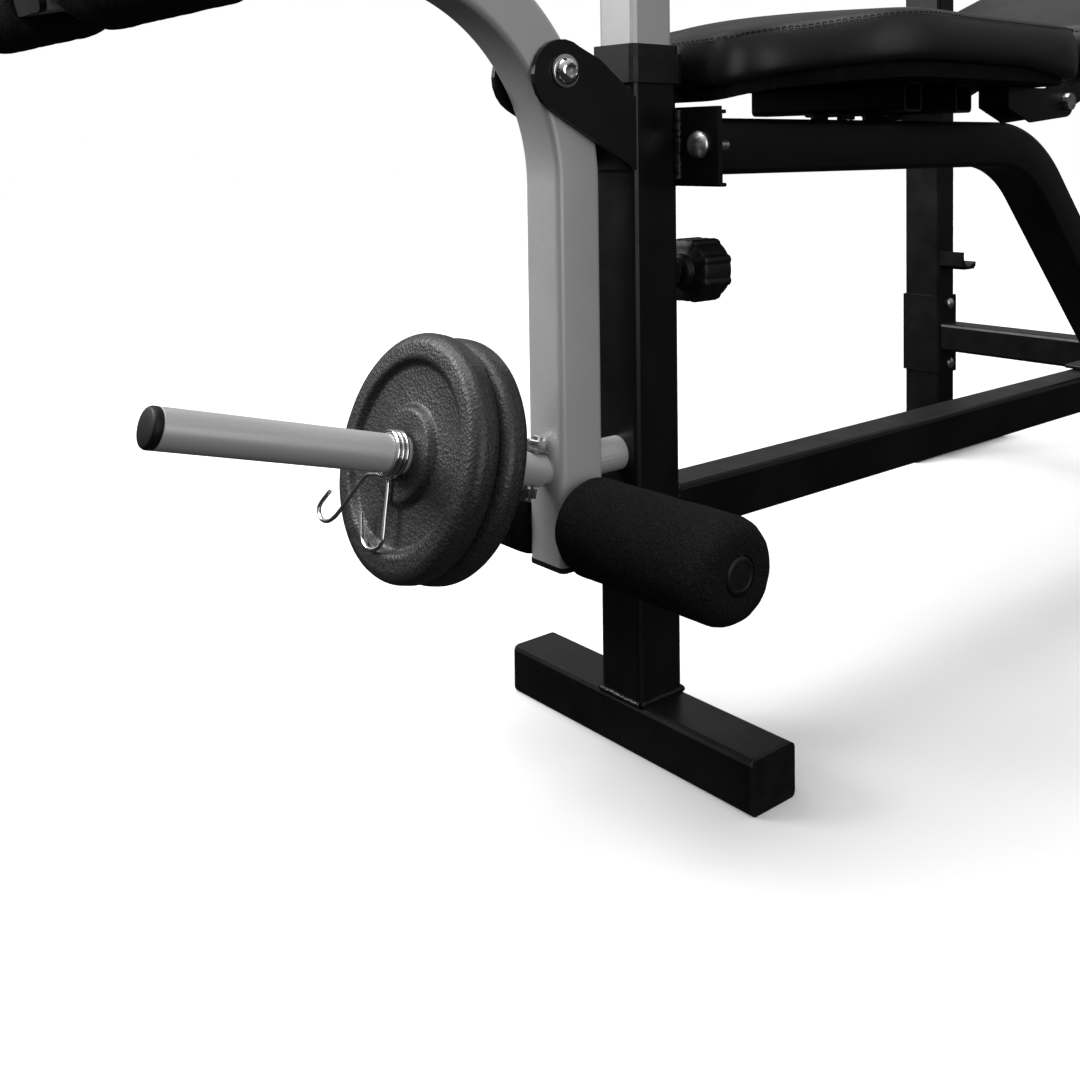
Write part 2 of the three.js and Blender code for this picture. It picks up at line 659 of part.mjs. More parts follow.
function addRollers() {
  for (const [level, { y, z }] of [['lower', LOWER_ROD], ['upper', UPPER_ROD]]) {
    const rod = [
      [ROLLER.rod - 1.5, -ROLLER.rodEnd], [ROLLER.rod, -ROLLER.rodEnd], [ROLLER.rod, ROLLER.rodEnd],
      [ROLLER.rod - 1.5, ROLLER.rodEnd], [ROLLER.rod - 1.5, -ROLLER.rodEnd],
    ];
    add(`roller_rod_${level}`, turned(rod, 'x', [0, y, z]), 'silverPaint');
    for (const [side, sign] of SIDES) {
      const { radius, bore, inner, outer, round } = ROLLER;
      const length = outer - inner;
      const foam = [
        [bore, 0], [radius - round, 0], [radius - 2, 2], [radius, round], [radius, length - round],
        [radius - 2, length - 2], [radius - round, length], [bore, length], [bore, 0],
      ];
      const start = sign > 0 ? inner : -outer;
      add(`roller_${level}_${side}`, turned(foam, 'x', [start, y, z], 24), 'foam');

      const plug = [
        [0, -12], [ROLLER.rod - 1.9, -12], [ROLLER.rod - 1.9, GAP], [ROLLER.rod, GAP],
        [ROLLER.rod, 2.4], [ROLLER.rod - 2, 3.6], [0, 3.6],
      ];
      const cap = add(`rod_cap_${level}_${side}`, turned(plug, 'y', [0, 0, 0], 16), 'plastic');
      cap.position.set(sign * ROLLER.rodEnd, y, z);
      cap.rotation.z = (-sign * Math.PI) / 2;
    }
  }
}

function plateShape(at) {
  const { radius, thick, bore, boss, recess, depth } = PLATE;
  const half = [[bore, 0], [boss, 0], [boss + 2.5, depth], [recess - 3, depth], [recess, 0.8], [radius - 5, 0]];
  const rim = [[radius - 1.2, 1.6], [radius, 6], [radius, thick - 6], [radius - 1.2, thick - 1.6]];
  const other = half.map(([r, along]) => [r, thick - along]).reverse();
  return alongHorn(turned([...half, ...rim, ...other, half[0]], 'z', [0, 0, at], 28));
}

function springShape() {
  const points = [
    [-28.6, -44.3, SPRING.from], [-21, -58.5, SPRING.from], [-7, -63.5, SPRING.from],
    [3, -55, SPRING.from], [-4.2, -19.5, SPRING.from], [-11.8, -12, SPRING.from],
  ];
  const turns = Math.abs(SPRING.sweepDegrees) / 360;
  const steps = Math.round(14 * turns);
  for (let i = 0; i <= steps; i += 1) {
    const angle = radians(SPRING.startDegrees + (SPRING.sweepDegrees * i) / steps);
    const along = SPRING.from + ((SPRING.to - SPRING.from) * i) / steps;
    points.push([SPRING.coil * Math.cos(angle), SPRING.coil * Math.sin(angle), along]);
  }
  points.push(
    [-16, -17.5, SPRING.to], [-40, -46, SPRING.to], [-53, -55.5, SPRING.to],
    [-67, -50, SPRING.to], [-57.6, -36.1, SPRING.to],
  );
  const route = new THREE.CatmullRomCurve3(points.map((p) => new THREE.Vector3(...p)), false, 'centripetal');
  const corners = [];
  for (let i = 0; i < 6; i += 1) {
    const angle = (Math.PI * i) / 3;
    corners.push(new THREE.Vector2(SPRING.wire * Math.cos(angle), SPRING.wire * Math.sin(angle)));
  }
  const section = new THREE.Shape(corners);
  const options = { steps: 80, extrudePath: route, bevelEnabled: false };
  return alongHorn(new THREE.ExtrudeGeometry(section, options));
}

function addHorn() {
  const { radius, length, ringAt, boltAt, rootY } = HORN;
  const bore = radius - WALL;
  const profile = [
    [bore, -4], [radius, -4], [radius, ringAt - 4.5], [20, ringAt - 4.5], [20, ringAt],
    [radius, ringAt], [radius, length], [bore, length], [bore, -4],
  ];
  const horn = cut(
    alongHorn(turned(profile, 'z', [0, 0, 0], 24)),
    block([-30, 30], [rootY, rootY + 30], [HORN.rootZ - 40, HORN.rootZ + 40]),
    alongHorn(pin('y', [0, 0, boltAt], 4.4, -30, 30)),
  );
  add('horn', horn, 'silverPaint');

  const bolt = [
    [0, -23], [4, -23], [4, -20], [6.5, -20], [6.5, -13.2], [4, -13.2],
    [4, 13.2], [6.5, 13.2], [6.5, 20], [4, 20], [4, 22.5], [0, 22.5],
  ];
  add('horn_bolt', alongHorn(turned(bolt, 'y', [0, 0, boltAt], 12)), 'zinc');

  const cap = [
    [0, length - 14], [bore - 0.4, length - 14], [bore - 0.4, length + GAP], [radius, length + GAP],
    [radius, length + 4], [radius - 2, length + 6], [0, length + 6],
  ];
  add('horn_cap', alongHorn(turned(cap, 'z', [0, 0, 0])), 'plastic');

  add('plate_far', plateShape(FAR_PLATE_AT), 'castIron');
  add('plate_near', plateShape(NEAR_PLATE_AT), 'castIron');
  add('spring_collar', springShape(), 'chrome');
}

addFrontFoot();
addFrontPost();
addPivotBracket();
addFlanges();
addSeatTube();
addSeat();
addHingeBrackets();
addBackrest();
addRearFrame();
addRackPosts();
addKnobs();
addArmCurl();
addLegTube();
addRollers();
addHorn();

export default bench;
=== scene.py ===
import json
import math

import bmesh
import bpy
from mathutils import Matrix, Vector, noise


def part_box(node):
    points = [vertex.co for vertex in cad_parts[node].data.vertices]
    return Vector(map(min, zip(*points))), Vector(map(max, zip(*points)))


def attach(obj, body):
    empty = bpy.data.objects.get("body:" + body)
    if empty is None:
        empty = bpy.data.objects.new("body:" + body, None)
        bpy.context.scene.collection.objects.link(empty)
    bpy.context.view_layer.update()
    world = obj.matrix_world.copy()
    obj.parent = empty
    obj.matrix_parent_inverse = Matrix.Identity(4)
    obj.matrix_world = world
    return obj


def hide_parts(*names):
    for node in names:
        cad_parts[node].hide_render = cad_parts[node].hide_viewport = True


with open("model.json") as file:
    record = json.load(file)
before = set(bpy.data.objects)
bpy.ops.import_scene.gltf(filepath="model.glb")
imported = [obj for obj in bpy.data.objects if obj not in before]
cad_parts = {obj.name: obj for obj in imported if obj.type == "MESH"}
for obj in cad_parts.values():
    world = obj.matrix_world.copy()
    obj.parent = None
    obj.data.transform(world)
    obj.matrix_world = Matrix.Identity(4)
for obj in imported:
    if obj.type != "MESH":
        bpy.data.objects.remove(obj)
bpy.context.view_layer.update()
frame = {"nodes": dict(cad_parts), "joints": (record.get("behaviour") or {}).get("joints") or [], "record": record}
NODES = frame["nodes"]
SIDES = (("right", 1), ("left", -1))
MM = 0.001
X_AXIS, Y_AXIS, Z_AXIS = Vector((1, 0, 0)), Vector((0, 1, 0)), Vector((0, 0, 1))


# ---------------------------------------------------------------- places taken from the frame

def centre(node):
    low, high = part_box(node)
    return (Vector(low) + Vector(high)) / 2


def corners(node):
    return tuple(Vector(v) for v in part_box(node))


def joint(name):
    return next(j for j in frame["joints"] if j["name"] == name)


PIVOT = Vector(joint("leg_developer_pivot")["pos_m"])
HORN_AXIS = Vector(joint("spring_collar_slide")["axis"]).normalized()
HINGE = Vector(joint("backrest_tilt")["pos_m"])
BACK_TILT = math.asin(joint("support_bar_lift_out")["axis"][2])
CURL_TILT = math.radians(52)
POST_LOW, POST_HIGH = corners("front_post")
LEG_LOW, LEG_HIGH = corners("leg_tube")


# ---------------------------------------------------------------- materials

class Nodes:
    """A small builder for a procedural material."""

    def __init__(self, name, colour, roughness, metallic=0.0):
        self.material = bpy.data.materials.new(name)
        self.material.use_nodes = True
        self.tree = self.material.node_tree
        self.shader = self.tree.nodes["Principled BSDF"]
        self.shader.inputs["Base Color"].default_value = (*colour, 1)
        self.shader.inputs["Roughness"].default_value = roughness
        self.shader.inputs["Metallic"].default_value = metallic
        self.place = self.add("ShaderNodeTexCoord").outputs["Object"]
        self.height = None

    def add(self, kind):
        return self.tree.nodes.new(kind)

    def link(self, a, b):
        self.tree.links.new(a, b)

    def noise(self, scale, detail=3.0, stretch=None):
        node = self.add("ShaderNodeTexNoise")
        node.inputs["Scale"].default_value = scale
        node.inputs["Detail"].default_value = detail
        self.link(self.stretched(stretch), node.inputs["Vector"])
        return node.outputs["Fac"]

    def cells(self, scale, feature="F1", smooth=None):
        node = self.add("ShaderNodeTexVoronoi")
        node.feature = feature
        node.inputs["Scale"].default_value = scale
        if smooth is not None and "Smoothness" in node.inputs:
            node.inputs["Smoothness"].default_value = smooth
        self.link(self.place, node.inputs["Vector"])
        return node.outputs["Distance"]

    def stretched(self, stretch):
        if stretch is None:
            return self.place
        node = self.add("ShaderNodeMapping")
        node.inputs["Scale"].default_value = stretch
        self.link(self.place, node.inputs["Vector"])
        return node.outputs["Vector"]

    def ramp(self, source, stops):
        node = self.add("ShaderNodeValToRGB")
        ramp = node.color_ramp
        ramp.elements[0].position, ramp.elements[0].color = stops[0][0], (*stops[0][1], 1)
        ramp.elements[1].position, ramp.elements[1].color = stops[-1][0], (*stops[-1][1], 1)
        for position, colour in stops[1:-1]:
            ramp.elements.new(position).color = (*colour, 1)
        self.link(source, node.inputs["Fac"])
        return node.outputs["Color"]

    def paint(self, source, low, high, start=0.35, end=0.65):
        """Base colour runs from low to high as source runs from start to end."""
        self.link(self.ramp(source, [(start, low), (end, high)]), self.shader.inputs["Base Color"])

    def gloss(self, source, low, high, start=0.3, end=0.7):
        node = self.add("ShaderNodeMapRange")
        node.inputs["From Min"].default_value = start
        node.inputs["From Max"].default_value = end
        node.inputs["To Min"].default_value = low
        node.inputs["To Max"].default_value = high
        self.link(source, node.inputs["Value"])
        self.link(node.outputs["Result"], self.shader.inputs["Roughness"])

    def bump(self, source, strength, distance):
        """Adds relief; several calls stack."""
        node = self.add("ShaderNodeBump")
        node.inputs["Strength"].default_value = strength
        node.inputs["Distance"].default_value = distance
        self.link(source, node.inputs["Height"])
        if self.height is not None:
            self.link(self.height, node.inputs["Normal"])
        self.height = node.outputs["Normal"]
        self.link(self.height, self.shader.inputs["Normal"])

    def set(self, socket, value):
        self.shader.inputs[socket].default_value = value


def grey(value, tint=0.0):
    return (value, value, value * (1 + tint))


def powder_coat():
    m = Nodes("black_powder_coat", grey(0.004, 0.06), 0.34)
    m.paint(m.noise(14, 5), grey(0.003, 0.05), grey(0.006, 0.06))
    m.gloss(m.noise(30, 4), 0.28, 0.40)
    m.set("Specular IOR Level", 0.30)
    m.bump(m.noise(520, 2), 0.10, 0.0004)
    m.bump(m.noise(60, 2), 0.05, 0.001)
    return m.material


def silver_paint():
    m = Nodes("silver_paint", grey(0.52, 0.01), 0.34, 0.25)
    m.paint(m.noise(1800, 1), grey(0.47), grey(0.58, 0.01), 0.3, 0.7)
    m.gloss(m.noise(22, 4), 0.33, 0.44)
    m.bump(m.noise(420, 2), 0.06, 0.0003)
    return m.material


def moulded_plastic():
    m = Nodes("black_plastic", grey(0.012), 0.5)
    m.paint(m.noise(90, 4), grey(0.004), grey(0.008))
    m.gloss(m.noise(50, 3), 0.40, 0.52)
    m.set("Specular IOR Level", 0.30)
    m.bump(m.noise(1500, 2), 0.12, 0.0002)
    return m.material


def foam():
    m = Nodes("black_foam", grey(0.02), 0.95)
    speckle = m.noise(1100, 3)
    m.paint(speckle, grey(0.003), grey(0.022), 0.45, 0.72)
    m.bump(m.cells(620), 0.55, 0.0009)
    m.bump(m.noise(1500, 2), 0.5, 0.0006)
    m.bump(m.noise(70, 3), 0.25, 0.0012)
    m.set("Specular IOR Level", 0.15)
    return m.material


def hammertone():
    m = Nodes("hammertone_cast_iron", grey(0.02), 0.42)
    m.paint(m.noise(500, 3), grey(0.012, 0.04), grey(0.034, 0.04), 0.35, 0.7)
    m.gloss(m.noise(300, 3), 0.34, 0.50)
    m.bump(m.cells(520, "SMOOTH_F1", 0.6), 0.45, 0.0007)
    m.bump(m.noise(900, 2), 0.2, 0.0004)
    m.set("Specular IOR Level", 0.55)
    return m.material


def vinyl():
    m = Nodes("black_vinyl", grey(0.014, 0.08), 0.36)
    m.paint(m.noise(8, 4), grey(0.004, 0.06), grey(0.008, 0.08))
    m.gloss(m.noise(40, 4), 0.38, 0.48)
    m.set("Specular IOR Level", 0.36)
    m.bump(m.cells(760, "DISTANCE_TO_EDGE"), 0.16, 0.0005)
    m.bump(m.noise(1300, 2), 0.08, 0.0003)
    m.bump(m.noise(16, 3), 0.12, 0.003)
    return m.material


def zinc():
    m = Nodes("zinc_plate", grey(0.62, 0.02), 0.34, 1.0)
    m.paint(m.noise(130, 4), grey(0.45, 0.02), grey(0.70, 0.02))
    m.gloss(m.noise(180, 3), 0.26, 0.42)
    m.bump(m.noise(600, 3), 0.12, 0.0002)
    return m.material


def chrome():
    m = Nodes("chrome", grey(0.78, 0.01), 0.10, 1.0)
    m.gloss(m.noise(120, 3), 0.06, 0.16)
    m.bump(m.noise(260, 2), 0.03, 0.0002)
    return m.material


def board_black_with_painted_shade():
    # Near-black base colour: the board's own black, darkened further as painted shade for the shadowed board under
    # the seat cushion.
    m = Nodes("black_board_with_painted_shade", grey(0.010), 0.75)
    m.paint(m.noise(120, 5, (1, 0.12, 1)), grey(0.0015), grey(0.004))
    m.gloss(m.noise(60, 3), 0.70, 0.90)
    m.set("Specular IOR Level", 0.12)
    m.bump(m.noise(300, 4, (1, 0.1, 1)), 0.3, 0.0006)
    return m.material


def thread():
    m = Nodes("stitch_thread", grey(0.003), 0.8)
    m.paint(m.noise(2500, 2), grey(0.002), grey(0.007))
    m.set("Specular IOR Level", 0.1)
    m.bump(m.noise(3000, 1), 0.3, 0.0002)
    return m.material


FINISHES = {
    "black_coat": powder_coat(),
    "silver_paint": silver_paint(),
    "black_plastic": moulded_plastic(),
    "black_foam": foam(),
    "cast_iron": hammertone(),
    "black_vinyl": vinyl(),
    "zinc": zinc(),
    "chrome": chrome(),
    "board": board_black_with_painted_shade(),
}
THREAD = thread()


# ---------------------------------------------------------------- mesh helpers

def piece(name, mesh, body, slot, replaces=(), smooth_degrees=40, material=None):
    """A finished Blender piece: smooth shading, material, slot and the body it rides on."""
    obj = bpy.data.objects.new(name, mesh)
    bpy.context.scene.collection.objects.link(obj)
    for polygon in mesh.polygons:
        polygon.use_smooth = True
    mesh.set_sharp_from_angle(angle=math.radians(smooth_degrees))
    mesh.materials.clear()
    mesh.materials.append(material or FINISHES[slot])
    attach(obj, body)
    if replaces:
        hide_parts(*replaces)
    return obj


def mesh_from(name, points, faces):
    mesh = bpy.data.meshes.new(name)
    mesh.from_pydata([tuple(p) for p in points], [], faces)
    work = bmesh.new()
    work.from_mesh(mesh)
    bmesh.ops.remove_doubles(work, verts=work.verts, dist=1e-6)
    bmesh.ops.recalc_face_normals(work, faces=work.faces)
    work.to_mesh(mesh)
    work.free()
    return mesh


def merged(name, meshes):
    """Several meshes as one."""
    work = bmesh.new()
    for mesh in meshes:
        work.from_mesh(mesh)
    result = bpy.data.meshes.new(name)
    work.to_mesh(result)
    work.free()
    return result


def loft(name, rings, closed_ends=True, looped=False):
    """A skin over rings of equally many points."""
    count = len(rings[0])
    points = [p for ring in rings for p in ring]
    faces = []
    spans = len(rings) if looped else len(rings) - 1
    for i in range(spans):
        a = i * count
        b = ((i + 1) % len(rings)) * count
        for k in range(count):
            n = (k + 1) % count
            faces.append((a + k, a + n, b + n, b + k))
    if closed_ends and not looped:
        faces.append(tuple(reversed(range(count))))
        faces.append(tuple(range(len(points) - count, len(points))))
    return mesh_from(name, points, faces)


def frame_along(axis):
    """A rotation whose z column is axis."""
    axis = Vector(axis).normalized()
    return axis.to_track_quat("Z", "Y").to_matrix()


def turned(name, profile, origin, axis, segments=64, shape=None, looped=False):
    """A turned piece. profile holds (radius, distance along the axis) in millimetres."""
    turn = frame_along(axis)
    rings = []
    for radius, along in profile:
        ring = []
        for k in range(segments):
            angle = 2 * math.pi * k / segments
            r = shape(angle, radius, along) if shape else radius
            local = Vector((r * math.cos(angle), r * math.sin(angle), along)) * MM
            ring.append(Vector(origin) + turn @ local)
        rings.append(ring)
    return loft(name, rings, looped=looped)


def rounded(profile, radius=0.8, steps=3):
    """A profile with its inner corners rounded by short curves."""
    out = [profile[0]]
    for before, here, after in zip(profile, profile[1:], profile[2:]):
        a, b, c = Vector(before), Vector(here), Vector(after)
        reach = min(radius, (a - b).length * 0.45, (c - b).length * 0.45)
        if reach < 1e-4:
            out.append(here)
            continue
        p = b + (a - b).normalized() * reach
        q = b + (c - b).normalized() * reach
        for s in range(steps + 1):
            t = s / steps
            out.append(tuple((1 - t) ** 2 * p + 2 * t * (1 - t) * b + t * t * q))
    out.append(profile[-1])
    return out


def rect_section(width, height, corner, steps=5):
    """Points of a rounded rectangle, in metres, counter-clockwise."""
    points = []
    w, h = width / 2 - corner, height / 2 - corner
    for cx, cy, start in ((w, h, 0), (-w, h, 90), (-w, -h, 180), (w, -h, 270)):
        for s in range(steps + 1):
            angle = math.radians(start + 90 * s / steps)
            points.append((cx + corner * math.cos(angle), cy + corner * math.sin(angle)))
    return points


def side_sweep(name, path, section):
    """Sweeps a section along a path in a plane x = constant. Section x stays along world x."""
    rings = []
    for i, here in enumerate(path):
        before = path[max(i - 1, 0)]
        after = path[min(i + 1, len(path) - 1)]
        along = (after - before).normalized()
        across = X_AXIS.cross(along)
        rings.append([here + X_AXIS * u + across * v for u, v in section])
    return loft(name, rings)


def wire(name, points, radius, segments=12, lumps=0.0, seed=0.0):
    """A round wire through points, with optional lumps for a painted weld bead."""
    rings = []
    side = None
    for i, here in enumerate(points):
        before = points[max(i - 1, 0)]
        after = points[min(i + 1, len(points) - 1)]
        along = (after - before).normalized()
        if side is None:
            side = along.orthogonal().normalized()
        side = (side - along * side.dot(along)).normalized()
        up = along.cross(side)
        ring = []
        for k in range(segments):
            angle = 2 * math.pi * k / segments
            direction = side * math.cos(angle) + up * math.sin(angle)
            swell = 1.0
            if lumps:
                swell += lumps * noise.noise((here + direction * radius) * 420 + Vector((seed, 0, 0)))
            ring.append(here + direction * radius * swell)
        rings.append(ring)
    return loft(name, rings)


def line(a, b, step=0.0012):
    count = max(2, round((b - a).length / step))
    return [a.lerp(b, i / count) for i in range(count + 1)]


def spline(points, per_span=8):
    """A Catmull-Rom curve through points."""
    out = []
    ends = [points[0]] + list(points) + [points[-1]]
    for a, b, c, d in zip(ends, ends[1:], ends[2:], ends[3:]):
        for s in range(per_span):
            t = s / per_span
            out.append(0.5 * ((2 * b) + (c - a) * t + (2 * a - 5 * b + 4 * c - d) * t * t
                              + (3 * b - a - 3 * c + d) * t ** 3))
    out.append(points[-1])
    return out


# ---------------------------------------------------------------- CAD nodes that stay

def dress_cad_nodes():
    """Gives every CAD node its material, a softened edge and smooth curved faces."""
    slots = {s["node"]: s["material_slot"] for s in frame["record"]["subparts"]}
    edge = {"black_coat": 0.8, "silver_paint": 0.7, "black_plastic": 1.2, "board": 1.5, "zinc": 0.4}
    for name, obj in NODES.items():
        slot = slots[name]
        obj.data.materials.clear()
        obj.data.materials.append(FINISHES[slot])
        for polygon in obj.data.polygons:
            polygon.use_smooth = True
            polygon.material_index = 0
        obj.data.set_sharp_from_angle(angle=math.radians(50))
        bevel = obj.modifiers.new("softened_edge", "BEVEL")
        bevel.limit_method = "ANGLE"
        bevel.angle_limit = math.radians(50)
        bevel.width = edge.get(slot, 0.5) * MM
        bevel.segments = 2
        bevel.harden_normals = True


# ---------------------------------------------------------------- leg developer

LEG_BEND_RADIUS = 0.158
LEG_BEND_DEGREES = 101.8
LEG_REACH = 0.1728
LEG_CORNER = 0.0055
HORN_ROOT = Vector((0, -0.0933, 0.2302))
HORN_RADIUS, HORN_BORE, HORN_END = 12.7, 10.7, 289  # millimetres, as the rest of this section's profiles
HORN_RING = (73.5, 78, 20)  # start, end and radius of the ring that the plates stop against
HORN_BOLT_AT = 12


def bend_path(start, bend_at, radius, degrees, reach):
    """Up from start to bend_at, round a bend towards the front, then straight on for reach."""
    path = [start + (bend_at - start) * (i / 12) for i in range(12)]
    middle = bend_at - Vector((0, radius, 0))
    steps = 56
    for i in range(steps + 1):
        angle = math.radians(degrees) * i / steps
        path.append(middle + Vector((0, radius * math.cos(angle), radius * math.sin(angle))))
    turn = math.radians(degrees)
    along = Vector((0, -math.sin(turn), math.cos(turn)))
    end = path[-1]
    path += [end + along * reach * (i / 8) for i in range(1, 9)]
    return path


def build_leg_tube():
    """The bent square tube, with the spigot that the horn sits on."""
    size = LEG_HIGH.x - LEG_LOW.x
    axis_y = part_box("leg_tube_cap_lower")[0][1] + size / 2
    bottom = Vector((0, axis_y, LEG_LOW.z))
    bend_at = Vector((0, axis_y, LEG_HIGH.z - (LEG_BEND_RADIUS + size / 2)))
    path = bend_path(bottom, bend_at, LEG_BEND_RADIUS, LEG_BEND_DEGREES, LEG_REACH)
    tube = side_sweep("leg_tube_swept", path, rect_section(size, size, LEG_CORNER))
    spigot = turned("spigot", [(HORN_BORE - 0.5, -3), (HORN_BORE - 0.5, 45)], horn_point(0), HORN_AXIS, 32)
    skin = merged("leg_tube_skin", [tube, spigot])
    piece("leg_tube_skin", skin, "leg_developer", "silver_paint", ["leg_tube"])


def horn_point(along, across=0.0, up=0.0):
    """A point by its place along the horn, sideways and square to it, in millimetres."""
    square = X_AXIS.cross(HORN_AXIS)
    if square.z < 0:
        square = -square
    return HORN_ROOT + (HORN_AXIS * along + X_AXIS * across + square * up) * MM


def hexagonal(angle, radius):
    """Radius of a hexagon whose flats lie at radius."""
    within = (angle + math.pi / 6) % (math.pi / 3) - math.pi / 6
    return radius / math.cos(within)


def build_horn():
    """The plate horn's tube, the plug in its end, and the bolt that holds it on its spigot."""
    ring_start, ring_end, ring_radius = HORN_RING
    bar = rounded([
        (HORN_BORE, 5), (HORN_RADIUS, 5), (HORN_RADIUS, ring_start), (ring_radius, ring_start),
        (ring_radius, ring_end), (HORN_RADIUS, ring_end), (HORN_RADIUS, HORN_END), (HORN_BORE, HORN_END),
    ], 0.8)
    tube = turned("horn_tube", bar, HORN_ROOT, HORN_AXIS, 72)
    piece("horn_tube", tube, "leg_developer", "silver_paint", ["horn"])

    cap = rounded([
        (0.01, 276), (10.2, 276), (10.2, 289.2), (12.75, 289.2), (12.75, 293), (11.6, 295),
        (6, 295.6), (0.01, 295.8),
    ], 0.9)
    plug = turned("horn_plug", cap, HORN_ROOT, HORN_AXIS, 64)
    piece("horn_plug", plug, "leg_developer", "black_plastic", ["horn_cap"])

    def head_or_nut(angle, radius, along):
        return hexagonal(angle, radius) if radius > 5 else radius

    bolt = [
        (0.01, -23), (3.4, -23), (4, -22), (4, -20), (6.4, -20), (6.5, -19.5), (6.5, -14), (6.4, -13.4),
        (4, -13.4), (4, 13), (9, 13), (9, 14.2), (4, 14.2), (6.4, 14.3), (6.6, 15), (6.6, 20), (6.1, 20.7),
        (4, 20.7), (4, 23.4), (3.2, 24), (0.01, 24),
    ]
    square = (horn_point(0, 0, 1) - horn_point(0)).normalized()
    mesh = turned("horn_through_bolt", bolt, horn_point(HORN_BOLT_AT), square, 48, head_or_nut)
    piece("horn_through_bolt", mesh, "leg_developer", "zinc", ["horn_bolt"])


def build_plates():
    """Cast plates: a raised rim and boss with a recess between them, the same on both faces."""
    rim, recess, boss, bore, thick, depth = 82.5, 63.5, 31.0, 13.4, 22.4, 5.0
    face = [
        (bore, 1.0), (bore + 1, 0), (boss, 0), (boss + 2.8, depth), (recess - 3, depth), (recess, 0.9),
        (recess + 2.5, 0.2), (rim - 7, 0.4), (rim - 2.2, 3.0), (rim - 0.2, 7),
    ]
    back = [(r, thick - along) for r, along in reversed(face)]
    profile = rounded(face + back, 2.2, 4)
    unevenness = 0.00025
    for node in ("plate_far", "plate_near"):
        at = (centre(node) - HORN_ROOT).dot(HORN_AXIS) / MM - thick / 2
        mesh = turned(node + "_cast", profile, horn_point(at), HORN_AXIS, 160, looped=True)
        for vertex in mesh.vertices:
            vertex.co += HORN_AXIS * unevenness * noise.noise(vertex.co * 55)
        piece(node + "_cast", mesh, node, "cast_iron", [node], 60)


def build_spring_collar():
    """A torsion clip: under three turns of chromed wire, with two hooked handles."""
    coil, wire_radius, first, last = 14.5, 1.45, 126.0, 135.6
    start_degrees, sweep_degrees, steps = 190, -1010, 84
    handle_a = [
        (-28.6, -44.3), (-22, -57.5), (-15, -62.8), (-6.4, -63.5), (1.2, -59.8), (3.5, -54), (0.4, -39.4),
        (-4.2, -18.8), (-10.5, -9.5),
    ]
    handle_b = [
        (-9, -15.6), (-14.5, -16.8), (-20, -21.5), (-40, -46), (-46, -51.8), (-53, -55.5), (-61, -55.5),
        (-66.5, -51), (-66, -46), (-57.6, -36.1),
    ]
    helix = []
    for i in range(steps + 1):
        angle = math.radians(start_degrees + sweep_degrees * i / steps)
        along = first + (last - first) * i / steps
        helix.append(horn_point(along, coil * math.cos(angle), coil * math.sin(angle)))
    route = spline([horn_point(first, x, y) for x, y in handle_a], 8)[:-1] + helix
    route += spline([helix[-1]] + [horn_point(last, x, y) for x, y in handle_b], 8)[1:]
    mesh = wire("spring_collar_wire", route, wire_radius * MM, 14)
    piece("spring_collar_wire", mesh, "spring_collar", "chrome", ["spring_collar"], 50)


def build_pivot_bolt():
    """Button-head bolt with a hex socket, a washer, and a nut on the far side."""
    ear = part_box("pivot_bracket")[1][0] / MM

    def socket(angle, radius, along):
        inner = radius <= 4.4 and along > 0
        return hexagonal(angle, radius) if inner else radius

    def flats(angle, radius, along):
        return hexagonal(angle, radius) if radius > 7 else radius

    head = [
        (6, -ear), (6, ear), (11.8, ear + 0.3), (12, ear + 0.8), (11.8, ear + 1.5), (9.6, ear + 1.7),
        (9.7, ear + 2.4), (9.3, ear + 4.2), (8.2, ear + 5.9), (6.6, ear + 7.1), (5.2, ear + 7.6),
        (4.4, ear + 7.5), (4.1, ear + 7.2), (4.1, ear + 3.4), (0.01, ear + 3.0),
    ]
    nut = [
        (6, 0), (9.4, 0.2), (9.6, 0.8), (9.6, 8.2), (9.3, 9), (6.2, 9.4), (5.9, 9.6), (5.9, 11.6),
        (5.2, 12.2), (0.01, 12.2),
    ]
    near = turned("head", head, PIVOT, X_AXIS, 72, socket)
    far = turned("nut", nut, PIVOT - X_AXIS * (ear + 0.3) * MM, -X_AXIS, 72, flats)
    piece("pivot_bolt_set", merged("pivot_bolt_set", [near, far]), "frame", "chrome", ["pivot_bolt"], 32)


def roller_outline(radius, length):
    """A foam tube's section with rounded ends, as (radius, distance) in millimetres."""
    bore, round_off = 13.3, 14
    rounding = [(0.0, 14.0), (1.2, 8.5), (4.0, 3.8), (8.5, 1.0), (14.0, 0.0)]
    outline = [(bore, 0.6), (radius - round_off, 0)]
    outline += [(radius - drop, along) for drop, along in reversed(rounding)][1:]
    outline += [(radius - 0.2, round_off + (length - 2 * round_off) * i / 24) for i in range(1, 24)]
    outline += [(radius - drop, length - along) for drop, along in rounding]
    outline += [(bore, length - 0.6)]
    return outline


def build_roller(node, sign):
    low, high = corners(node)
    inner_end = low.x if sign > 0 else high.x
    origin = Vector((inner_end, (low.y + high.y) / 2, (low.z + high.z) / 2))
    outline = roller_outline((high.z - low.z) / 2 / MM, (high.x - low.x) / MM)
    mesh = turned(node + "_foam", outline, origin, X_AXIS * sign, 128, looped=True)
    for vertex in mesh.vertices:
        away = Vector((0, vertex.co.y - origin.y, vertex.co.z - origin.z))
        if away.length > 0.016:
            swell = 0.0007 * noise.noise(vertex.co * 38) + 0.00035 * noise.noise(vertex.co * 190)
            vertex.co += away.normalized() * (swell - 0.0006)
    foam_piece = piece(node + "_foam", mesh, node, "black_foam", [node], 70)
    return origin


